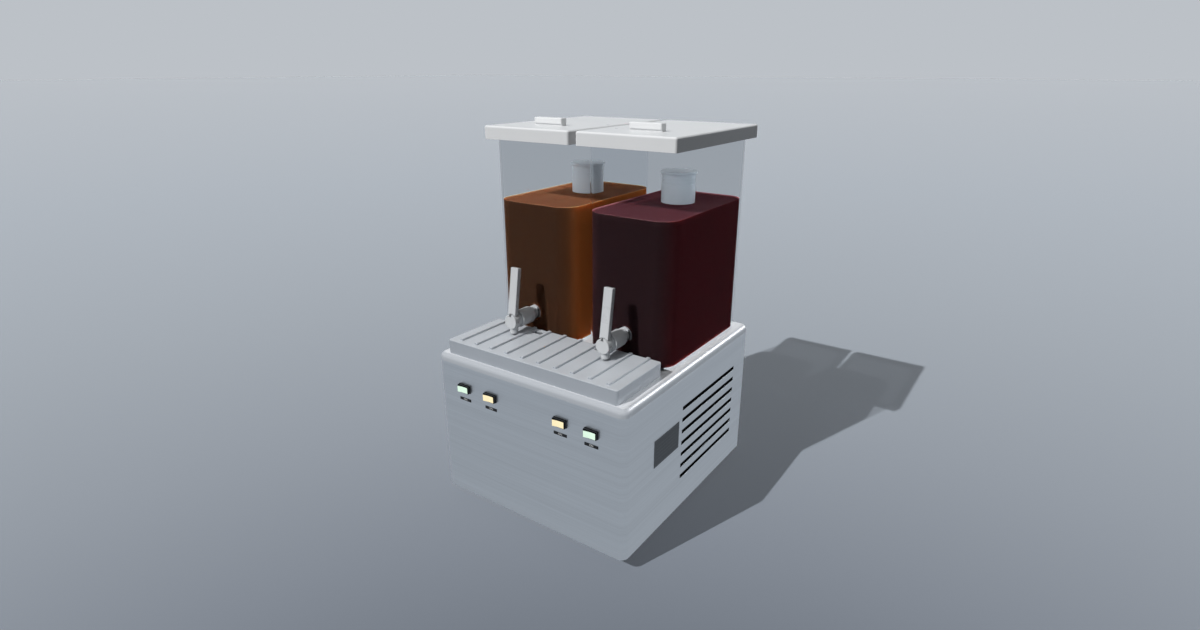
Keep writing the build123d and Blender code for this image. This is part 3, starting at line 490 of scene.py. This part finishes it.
def makeObject(name, bm):
    mesh = bpy.data.meshes.new(name)
    bm.to_mesh(mesh)
    bm.free()
    obj = bpy.data.objects.new(name, mesh)
    bpy.context.scene.collection.objects.link(obj)
    return obj


# a finished piece is scaled to metres, dressed, and hung on its body
def addPiece(name, bm, body, slotName, *finish, sharp=32):
    bmesh.ops.scale(bm, vec=(mm, mm, mm), verts=bm.verts)
    piece = makeObject(name, bm)
    for mat in finish:
        piece.data.materials.append(mats[mat])
    piece.data.shade_smooth()
    piece.data.set_sharp_from_angle(angle=math.radians(sharp))
    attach(piece, body)
    return piece


# one solid less others, as a new bmesh
def cutAway(bm, cutters):
    body = makeObject("cutBody", bm)
    tools = [makeObject("cutTool", tool) for tool in cutters]
    for tool in tools:
        cut = body.modifiers.new("cut", "BOOLEAN")
        cut.object = tool
        cut.operation = "DIFFERENCE"
        cut.solver = "EXACT"
    bpy.context.view_layer.update()
    solid = body.evaluated_get(bpy.context.evaluated_depsgraph_get())
    result = bmesh.new()
    result.from_mesh(solid.to_mesh())
    for obj in [body, *tools]:
        bpy.data.objects.remove(obj)
    return result


def moveBy(bm, *step):
    bmesh.ops.translate(bm, vec=step, verts=bm.verts)


def turnBy(bm, degrees, axis):
    turn = Matrix.Rotation(math.radians(degrees), 3, axis)
    bmesh.ops.rotate(bm, cent=(0, 0, 0), matrix=turn, verts=bm.verts)


def vertsOf(geom):
    return [g for g in geom if isinstance(g, bmesh.types.BMVert)]


def facesOf(geom):
    return [g for g in geom if isinstance(g, bmesh.types.BMFace)]


# turned solid from a half profile of (radius, height) points
def turned(profile, steps=64):
    bm = bmesh.new()
    points = [bm.verts.new((r, 0, z)) for r, z in profile]
    edges = [bm.edges.new(pair) for pair in zip(points, points[1:])]
    bmesh.ops.spin(bm, geom=points + edges, cent=(0, 0, 0), axis=(0, 0, 1), angle=2 * math.pi, steps=steps,
                   use_merge=True)
    bmesh.ops.remove_doubles(bm, verts=bm.verts, dist=weld)
    bmesh.ops.recalc_face_normals(bm, faces=bm.faces)
    return bm


def boxed(x0, x1, y0, y1, z0, z1):
    bm = bmesh.new()
    bmesh.ops.create_cube(bm, size=1.0)
    bmesh.ops.scale(bm, vec=(x1 - x0, y1 - y0, z1 - z0), verts=bm.verts)
    moveBy(bm, (x0 + x1) / 2, (y0 + y1) / 2, (z0 + z1) / 2)
    return bm


def rounded(bm, geom, offset, steps, affect="EDGES"):
    bmesh.ops.bevel(bm, geom=list(geom), offset=offset, offset_type="OFFSET", affect=affect, segments=steps,
                    profile=0.5, material=-1)


# flat upright plate with rounded corners, round the origin
def uprightPlate(half, corner):
    bm = bmesh.new()
    bmesh.ops.create_grid(bm, x_segments=1, y_segments=1, size=1.0)
    turnBy(bm, 90, "X")
    bmesh.ops.scale(bm, vec=(half[0], 1, half[1]), verts=bm.verts)
    rounded(bm, bm.verts, corner, 4, affect="VERTICES")
    bm.faces.ensure_lookup_table()
    return bm


def edgesAlong(bm, axis):
    return [e for e in bm.edges if abs((e.verts[0].co - e.verts[1].co).normalized().dot(axis)) > straight]


def sharpEdges(bm, degrees=40):
    return [e for e in bm.edges if len(e.link_faces) == 2 and e.calc_face_angle(0) > math.radians(degrees)]


# copies of what is drawn, one at each place, in place of the first
def repeated(bm, places):
    first = bm.verts[:] + bm.edges[:] + bm.faces[:]
    for place in places[1:]:
        made = bmesh.ops.duplicate(bm, geom=first)["geom"]
        bmesh.ops.translate(bm, vec=place, verts=vertsOf(made))
    bmesh.ops.translate(bm, vec=places[0], verts=vertsOf(first))


def absorb(bm, other):
    mesh = bpy.data.meshes.new("absorbed")
    other.to_mesh(mesh)
    other.free()
    bm.from_mesh(mesh)
    bpy.data.meshes.remove(mesh)


def pushed(bm, face, move=(0, 0, 0), grow=None):
    face = facesOf(bmesh.ops.extrude_face_region(bm, geom=[face])["geom"])[0]
    if grow:
        middle = face.calc_center_median()
        bmesh.ops.scale(bm, vec=grow, space=Matrix.Translation(-middle), verts=face.verts)
    bmesh.ops.translate(bm, vec=move, verts=face.verts)
    return face


# juice stands a hair inside the bowl, shaped round the tower, the stirrer and the tap's nut
juice = {"bowlX": 101.65, "halfWidth": 84.35, "front": -76.0, "back": 210.2, "corner": 34.7,
         "cornerSteps": 14, "floor": 312.8, "level": 567.0, "meniscus": 2.2, "rise": 1.1, "towerY": 99.5,
         "hollowLow": 292.8, "hollow": [(49.8, 323.2), (27.9, 509.6), (31.1, 600.0)], "tapZ": 361.0,
         "nutRadius": 15.6, "nutStart": -100.0, "nutEnd": -56.6, "nutSteps": 32, "drained": 0.02,
         "finish": {"left": "juiceOrange", "right": "juiceRed"},
         "slot": {"left": "juice_orange", "right": "juice_red"}}


def pourJuice(side):
    x = sides[side] * juice["bowlX"]
    bm = boxed(x - juice["halfWidth"], x + juice["halfWidth"], juice["front"], juice["back"],
               juice["floor"], juice["level"])
    rounded(bm, edgesAlong(bm, Vector((0, 0, 1))), juice["corner"], juice["cornerSteps"])
    top = max(bm.faces, key=lambda f: f.calc_center_median().z)
    bmesh.ops.inset_region(bm, faces=[top], thickness=juice["meniscus"], use_even_offset=True)
    bmesh.ops.translate(bm, vec=(0, 0, -juice["rise"]), verts=top.verts)
    low = juice["hollowLow"]
    profile = [(0, low)]
    for radius, high in juice["hollow"]:
        profile += [(radius, low), (radius, high)]
        low = high
    hollow = turned(profile + [(0, low)])
    moveBy(hollow, x, juice["towerY"], 0)
    start, end, radius = juice["nutStart"], juice["nutEnd"], juice["nutRadius"]
    pocket = turned([(0, start), (radius, start), (radius, end), (0, end)], juice["nutSteps"])
    turnBy(pocket, -90, "X")
    moveBy(pocket, x, 0, juice["tapZ"])
    piece = addPiece("juice_" + side, cutAway(bm, [hollow, pocket]), "bowl_" + side, juice["slot"][side],
                     juice["finish"][side])
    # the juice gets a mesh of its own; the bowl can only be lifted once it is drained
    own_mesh(piece)


for side in sides:
    pourJuice(side)
print("juice poured")

# wound springs stand for the plain sleeves in the taps; in the tap a spring shortens as the plunger is pushed
# back
spring = {"radius": 5.8, "wire": 0.75, "wireSteps": 12, "turns": 7, "stepsPerTurn": 24, "travel": 2.9,
          "sharp": 60}


def windSpring(side):
    low, high = [Vector(corner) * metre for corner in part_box("tap_spring_" + side)]
    middle = (low + high) / 2
    length = high.y - low.y
    steps = spring["turns"] * spring["stepsPerTurn"]
    climb = (length - 2 * spring["wire"]) / steps
    bm = bmesh.new()
    bmesh.ops.create_circle(bm, segments=spring["wireSteps"], radius=spring["wire"])
    turnBy(bm, 90, "X")
    moveBy(bm, spring["radius"], 0, spring["wire"])
    bmesh.ops.spin(bm, geom=bm.verts[:] + bm.edges[:], cent=(0, 0, 0), axis=(0, 0, 1), dvec=(0, 0, climb),
                   angle=2 * math.pi * spring["turns"], steps=steps)
    bmesh.ops.holes_fill(bm, edges=[e for e in bm.edges if e.is_boundary])
    bmesh.ops.recalc_face_normals(bm, faces=bm.faces)
    turnBy(bm, -90, "X")
    moveBy(bm, middle.x, low.y, middle.z)
    piece = addPiece("woundSpring_" + side, bm, "bowl_" + side, "pin_steel", "pinSteel",
                     sharp=spring["sharp"])
    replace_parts(piece, "tap_spring_" + side)
    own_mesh(piece)
    return length


for side in sides:
    print("spring wound,", round(windSpring(side), 2), "mm long")

# rocker switches: frame, lit cap and label
switches = {"stir_rocker_left": -140.5, "cool_rocker_left": -77.6, "cool_rocker_right": 77.6,
            "stir_rocker_right": 140.5}
switchZ = 251.3
frontY = -230.0
bezel = {"half": (13.2, 7.2), "collar": (13.7, 7.7), "inner": (12.3, 6.3), "collarDepth": 1.0, "reach": 5.0,
         "well": 11.25, "back": 22.0, "corner": 1.2, "edge": 0.2}
cap = {"half": 11.43, "halfHeight": 6.0, "root": 4.0, "end": 8.398, "middle": 7.4, "pivot": -229.0,
       "tilt": 5.0, "rim": 0.28, "stand": 0.3, "valley": 3.2, "valleySteps": 6, "sharp": 50}


def ratio(new, old):
    return (new[0] / old[0], 1, new[1] / old[1])


def drawBezel():
    bm = uprightPlate(bezel["half"], bezel["corner"])
    moveBy(bm, 0, frontY + bezel["back"], 0)
    face = pushed(bm, bm.faces[0], (0, -bezel["back"], 0))
    face = pushed(bm, face, grow=ratio(bezel["collar"], bezel["half"]))
    face = pushed(bm, face, (0, -bezel["collarDepth"], 0))
    face = pushed(bm, face, grow=ratio(bezel["half"], bezel["collar"]))
    face = pushed(bm, face, (0, bezel["collarDepth"] - bezel["reach"], 0))
    face = pushed(bm, face, grow=ratio(bezel["inner"], bezel["half"]))
    pushed(bm, face, (0, bezel["well"], 0))
    bmesh.ops.recalc_face_normals(bm, faces=bm.faces)
    rounded(bm, sharpEdges(bm), bezel["edge"], 2)
    return bm


# the cap dips along its middle, and its lens stands a little proud of a black rim
def drawCap(x):
    bm = boxed(-cap["half"], cap["half"], -cap["end"] + cap["stand"], cap["root"], -cap["halfHeight"],
               cap["halfHeight"])
    whole = bm.verts[:] + bm.edges[:] + bm.faces[:]
    bmesh.ops.bisect_plane(bm, geom=whole, plane_co=(0, 0, 0), plane_no=(1, 0, 0))
    dip = [v for v in bm.verts if abs(v.co.x) < weld and v.co.y < 0]
    bmesh.ops.translate(bm, vec=(0, cap["end"] - cap["middle"], 0), verts=dip)
    valley = [e for e in bm.edges if all(v in dip for v in e.verts)]
    rounded(bm, valley, cap["valley"], cap["valleySteps"])
    fronts = [f for f in bm.faces if f.normal.y < -straight]
    bmesh.ops.inset_region(bm, faces=fronts, thickness=cap["rim"], use_even_offset=True)
    raised = bmesh.ops.extrude_face_region(bm, geom=fronts)["geom"]
    bmesh.ops.translate(bm, vec=(0, -cap["stand"], 0), verts=vertsOf(raised))
    lens = facesOf(raised)
    for face in bm.faces:
        face.material_index = 0 if face in lens else 1
    black = [e for e in sharpEdges(bm, cap["sharp"]) if not any(f in lens for f in e.link_faces)]
    rounded(bm, black, cap["stand"] / 2, 2)
    turn = Matrix.Translation((x, cap["pivot"], switchZ)) @ Matrix.Rotation(math.radians(cap["tilt"]), 4, "Z")
    bmesh.ops.transform(bm, matrix=turn, verts=bm.verts)
    return bm


bezels = drawBezel()
repeated(bezels, [(x, 0, switchZ) for x in switches.values()])
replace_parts(addPiece("switchFrames", bezels, "cabinet", "black_plastic", "frameBlack"), "switch_bezels")
for name, x in switches.items():
    kind = "Green" if name.startswith("stir") else "Yellow"
    lit = addPiece("lit_" + name, drawCap(x), name, "lens_" + kind.lower(), "lens" + kind, "frameBlack")
    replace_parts(lit, name)

label = {"half": (13.6, 2.7), "drop": 22.3, "thick": 0.35, "corner": 0.5, "words": "ON", "size": 5.2,
         "wordDepth": 0.04}


def drawLabel():
    bm = uprightPlate(label["half"], label["corner"])
    pushed(bm, bm.faces[0], (0, -label["thick"], 0))
    bmesh.ops.recalc_face_normals(bm, faces=bm.faces)
    return bm


def drawWords():
    curve = bpy.data.curves.new("words", "FONT")
    curve.body = label["words"]
    curve.size = label["size"]
    curve.align_x = "CENTER"
    curve.align_y = "CENTER"
    curve.extrude = label["wordDepth"]
    obj = bpy.data.objects.new("words", curve)
    bpy.context.scene.collection.objects.link(obj)
    bpy.context.view_layer.update()
    bm = bmesh.new()
    bm.from_mesh(obj.evaluated_get(bpy.context.evaluated_depsgraph_get()).to_mesh())
    bpy.data.objects.remove(obj)
    bmesh.ops.remove_doubles(bm, verts=bm.verts, dist=weld)
    turnBy(bm, 90, "X")
    return bm


labels = drawLabel()
words = drawWords()
labelZ = switchZ - label["drop"]
wordY = frontY - label["thick"] - label["wordDepth"]
repeated(labels, [(x, frontY, labelZ) for x in switches.values()])
repeated(words, [(x, wordY, labelZ) for x in switches.values()])
addPiece("switchLabels", labels, "cabinet", "label_dark", "labelDark")
addPiece("switchWords", words, "cabinet", "label_print", "labelPrint")
print("switches and labels made")

# slanted black vanes stand inside the side slots; the dark sheet behind them and the thin black liner in each
# slot are painted shade that keeps the slots black
vane = {"outer": 203.2, "inner": 197.4, "start": -45.0, "end": 170.0, "first": 90.0, "pitch": 23.2,
        "count": 7, "slot": 8.0, "overlap": 1.0, "thick": 0.9, "round": 0.27, "sheet": (196.0, 196.6),
        "margin": 7.0, "postHalf": 1.5}
shadeLiner = {"inner": 203.0, "outer": 204.9, "start": -43.45, "end": 168.45, "wall": 0.5, "gap": 0.05}


def drawShadeLiner(z):
    low = z + shadeLiner["gap"]
    high = z + vane["slot"] - shadeLiner["gap"]
    ring = boxed(shadeLiner["inner"], shadeLiner["outer"], shadeLiner["start"], shadeLiner["end"], low, high)
    outer = max(ring.faces, key=lambda f: f.calc_center_median().x)
    inner = min(ring.faces, key=lambda f: f.calc_center_median().x)
    for face in (outer, inner):
        bmesh.ops.inset_region(ring, faces=[face], thickness=shadeLiner["wall"], use_even_offset=True)
    bmesh.ops.bridge_loops(ring, edges=list(outer.edges) + list(inner.edges))
    bmesh.ops.delete(ring, geom=[outer, inner], context="FACES_ONLY")
    bmesh.ops.recalc_face_normals(ring, faces=ring.faces)
    return ring


def drawVane(z):
    run = vane["outer"] - vane["inner"]
    climb = vane["slot"] + vane["overlap"]
    halfLength = math.hypot(run, climb) / 2
    halfThick = vane["thick"] / 2
    slat = boxed(-halfThick, halfThick, vane["start"], vane["end"], -halfLength, halfLength)
    rounded(slat, edgesAlong(slat, Vector((0, 1, 0))), vane["round"], 2)
    turnBy(slat, -math.degrees(math.atan2(run, climb)), "Y")
    moveBy(slat, (vane["outer"] + vane["inner"]) / 2, 0, z + vane["slot"] / 2)
    return slat


def drawVanes(hand):
    bm = bmesh.new()
    for i in range(vane["count"]):
        z = vane["first"] + i * vane["pitch"]
        absorb(bm, drawVane(z))
        absorb(bm, drawShadeLiner(z))
    low = vane["first"] - vane["margin"]
    high = vane["first"] + (vane["count"] - 1) * vane["pitch"] + vane["slot"] + vane["margin"]
    half = vane["postHalf"]
    for y in (vane["start"], vane["end"]):
        absorb(bm, boxed(vane["inner"], vane["outer"], y - half, y + half, low, high))
    # painted shade: a dark sheet behind the slots
    absorb(bm, boxed(*vane["sheet"], vane["start"] - half, vane["end"] + half, low, high))
    if hand < 0:
        bmesh.ops.scale(bm, vec=(-1, 1, 1), verts=bm.verts)
        bmesh.ops.reverse_faces(bm, faces=bm.faces)
    return bm


for side, hand in sides.items():
    addPiece("louvreVanes_" + side, drawVanes(hand), "cabinet", "black_plastic", "ventBlack")
print("louvre vanes made")

foot = {"half": (147, 168), "steps": 48,
        "profile": [(0, 0.9), (9.0, 0.9), (10.2, 0), (13.6, 0), (14.6, 0.4), (15.1, 1.4), (17.5, 19.4),
                    (16.8, 20.2), (16.8, 21.6), (17.8, 22.4), (18.7, 28.6), (18.1, 29.8), (0, 29.9)]}
feet = turned(foot["profile"], foot["steps"])
footX, footY = foot["half"]
repeated(feet, [(sx * footX, sy * footY, 0) for sx in (-1, 1) for sy in (-1, 1)])
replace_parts(addPiece("rubberFeet", feet, "cabinet", "rubber_dark", "rubberDark"), "feet")

# pan heads with a cross recess, on the rear panel
screw = {"columns": (-181.5, 181.5), "rows": (50.0, 124.5, 199.0, 273.5), "back": 231.5, "steps": 32,
         "profile": [(0, 0), (4.0, 0), (3.9, 0.7), (3.4, 1.5), (2.4, 2.1), (1.2, 2.35), (0, 2.4)],
         "cutReach": 2.3, "cutHalf": 0.5, "cutFloor": 1.0, "cutTop": 4.0}


def drawHead():
    reach, half, floor, top = [screw[key] for key in ("cutReach", "cutHalf", "cutFloor", "cutTop")]
    cross = [boxed(-reach, reach, -half, half, floor, top), boxed(-half, half, -reach, reach, floor, top)]
    bm = cutAway(turned(screw["profile"], screw["steps"]), cross)
    turnBy(bm, -90, "X")
    return bm


heads = drawHead()
repeated(heads, [(x, screw["back"], z) for x in screw["columns"] for z in screw["rows"]])
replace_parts(addPiece("panelScrews", heads, "cabinet", "screw_steel", "screwSteel"), "rear_screws")

# plated blades over the inlet's prongs
blade = {"places": [(-119, 0, 78), (-105, 0, 78), (-112, 0, 82)], "half": (1.15, 2.15), "start": 217.0,
         "end": 231.3, "edge": 0.5}
bladeX, bladeZ = blade["half"]
blades = boxed(-bladeX, bladeX, blade["start"], blade["end"], -bladeZ, bladeZ)
rounded(blades, blades.edges, blade["edge"], 3)
repeated(blades, blade["places"])
addPiece("inletBlades", blades, "cabinet", "pin_steel", "pinSteel")
print("feet, screws and inlet blades made")

# plain floor, pale far away and darker towards its front corner
ground = {"reach": 60.0, "near": (0.69, -0.995, 0.0), "height": 0.7965, "gain": 0.105, "bounce": 0.02,
          "ramp": [(0.0, tint(188, 193, 199)), (0.15, tint(176, 183, 191)), (0.32, tint(163, 170, 178)),
                   (0.48, tint(148, 155, 164)), (0.62, tint(131, 138, 148)), (0.72, tint(116, 123, 133))],
          "rough": 0.9, "gloss": tint(158, 164, 171)}


def layFloor():
    bm = bmesh.new()
    bmesh.ops.create_grid(bm, x_segments=1, y_segments=1, size=ground["reach"])
    floor = makeObject("floor", bm)
    mat, tree, shader, place = startMaterial("floorGrey")
    away = put(tree, "VectorMath", {0: place, 1: ground["near"]}, operation="DISTANCE").outputs["Value"]
    slant = sums(tree, "SQRT", sums(tree, "MULTIPLY_ADD", away, away, ground["height"] ** 2))
    ramp = put(tree, "ValToRGB", {0: sums(tree, "DIVIDE", ground["height"], slant)})
    points = ramp.color_ramp.elements
    while len(points) < len(ground["ramp"]):
        points.new(0.5)
    for point, (at, colour) in zip(points, ground["ramp"]):
        point.position = at
        point.color = colour
    path = put(tree, "LightPath").outputs
    # it throws less light back at the object than its own dark colour would
    less = ground["bounce"] - ground["gain"]
    dim = sums(tree, "MULTIPLY_ADD", path["Is Diffuse Ray"], less, ground["gain"])
    colour = put(tree, "VectorMath", {0: ramp.outputs[0], "Scale": dim}, operation="SCALE").outputs[0]
    feed(tree, shader, {"Base Color": colour, "Roughness": ground["rough"], "Specular IOR Level": 0.0})
    mirrored = put(tree, "Emission", {"Color": ground["gloss"], "Strength": 1.0})
    mix = put(tree, "MixShader", {0: path["Is Glossy Ray"], 1: shader.outputs[0], 2: mirrored.outputs[0]})
    feed(tree, tree.nodes["Material Output"], {"Surface": mix.outputs[0]})
    floor.data.materials.append(mat)


# soft light from overhead and from the front left, and a plain grey where the sky itself is seen
sky = {"seen": tint(188, 193, 199), "fillTint": (0.96, 0.985, 1.0, 1.0), "fillAll": 0.05, "fillTop": 1.76,
       "topFocus": 10.0, "fillFront": 0.16, "frontFocus": 2.0, "front": (-0.4, -0.87, 0.29)}


def lightWorld():
    world = bpy.data.worlds.new("studio")
    bpy.context.scene.world = world
    world.use_nodes = True
    tree = world.node_tree
    way = put(tree, "TexCoord").outputs["Generated"]
    up = put(tree, "SeparateXYZ", {0: way}).outputs["Z"]
    overhead = sums(tree, "POWER", sums(tree, "MAXIMUM", up, 0.0), sky["topFocus"])
    ahead = put(tree, "VectorMath", {0: way, 1: sky["front"]}, operation="DOT_PRODUCT").outputs["Value"]
    lobe = sums(tree, "POWER", sums(tree, "MAXIMUM", ahead, 0.0), sky["frontFocus"])
    strength = sums(tree, "MULTIPLY_ADD", overhead, sky["fillTop"], sky["fillAll"])
    strength = sums(tree, "MULTIPLY_ADD", lobe, sky["fillFront"], strength)
    fill = tree.nodes["Background"]
    feed(tree, fill, {"Color": sky["fillTint"], "Strength": strength})
    seen = put(tree, "Background", {"Color": sky["seen"], "Strength": 1.0})
    path = put(tree, "LightPath").outputs
    rays = sums(tree, "MAXIMUM", path["Is Glossy Ray"], path["Is Transmission Ray"])
    rays = sums(tree, "MAXIMUM", path["Is Camera Ray"], rays)
    mix = put(tree, "MixShader", {0: rays, 1: fill.outputs[0], 2: seen.outputs[0]})
    feed(tree, tree.nodes["World Output"], {"Surface": mix.outputs[0]})


lamps = {"sunPath": (0.36, 1.07, -1.0), "sunAngle": 0.5, "sun": 2.8, "floorSun": 26.5, "floorFill": 11.2,
         "clear": ["juice_left", "juice_right", "bowl_left", "bowl_right"],
         "edgePath": (-0.41, -0.82, -0.4), "edge": 0.4, "edgeAngle": 12.0}


def hangLamp(name, path, energy, angle):
    lamp = bpy.data.lights.new(name, "SUN")
    lamp.energy = energy
    lamp.angle = math.radians(angle)
    obj = bpy.data.objects.new(name, lamp)
    obj.rotation_euler = Vector(path).to_track_quat("-Z", "Y").to_euler()
    bpy.context.scene.collection.objects.link(obj)
    return obj


def linkGroup(name, members, state):
    group = bpy.data.collections.new(name)
    for member in members:
        group.objects.link(nodes[member] if member in nodes else bpy.data.objects[member])
    for link in group.collection_objects:
        link.light_linking.link_state = state
    return group


def hangLamps():
    # the object's sun isn't shaded by the clear bowls and their juice
    sun = hangLamp("sun", lamps["sunPath"], lamps["sun"], lamps["sunAngle"])
    sun.light_linking.receiver_collection = linkGroup("notFloor", ["floor"], "EXCLUDE")
    sun.light_linking.blocker_collection = linkGroup("notClear", lamps["clear"], "EXCLUDE")
    # the dark floor has a strong sun of its own, and an unshaded fill that keeps its shadow even
    floorSun = hangLamp("floorSun", lamps["sunPath"], lamps["floorSun"], lamps["sunAngle"])
    floorFill = hangLamp("floorFill", (0, 0, -1), lamps["floorFill"], lamps["sunAngle"])
    floorFill.data.use_shadow = False
    for lamp in (floorSun, floorFill):
        lamp.light_linking.receiver_collection = linkGroup(lamp.name + "Only", ["floor"], "INCLUDE")
    for lamp in (sun, floorSun, floorFill):
        lamp.visible_glossy = False
    edge = hangLamp("edge", lamps["edgePath"], lamps["edge"], lamps["edgeAngle"])
    edge.visible_diffuse = False  # only picks out rounded edges


layFloor()
lightWorld()
hangLamps()

view = {"place": (0.6908, -0.9952, 0.7965), "turn": (69.89, 0.0, 34.88), "lens": 20.27, "sensor": 36.0,
        "nearest": 0.01, "farthest": 200.0}
camera = bpy.data.objects.new("camera", bpy.data.cameras.new("camera"))
camera.location = view["place"]
camera.rotation_euler = [math.radians(a) for a in view["turn"]]
camera.data.sensor_width = view["sensor"]
camera.data.lens = view["lens"]
camera.data.clip_start = view["nearest"]
camera.data.clip_end = view["farthest"]
bpy.context.scene.collection.objects.link(camera)
bpy.context.scene.camera = camera
bpy.context.scene.view_settings.view_transform = "Standard"
print("stage set")
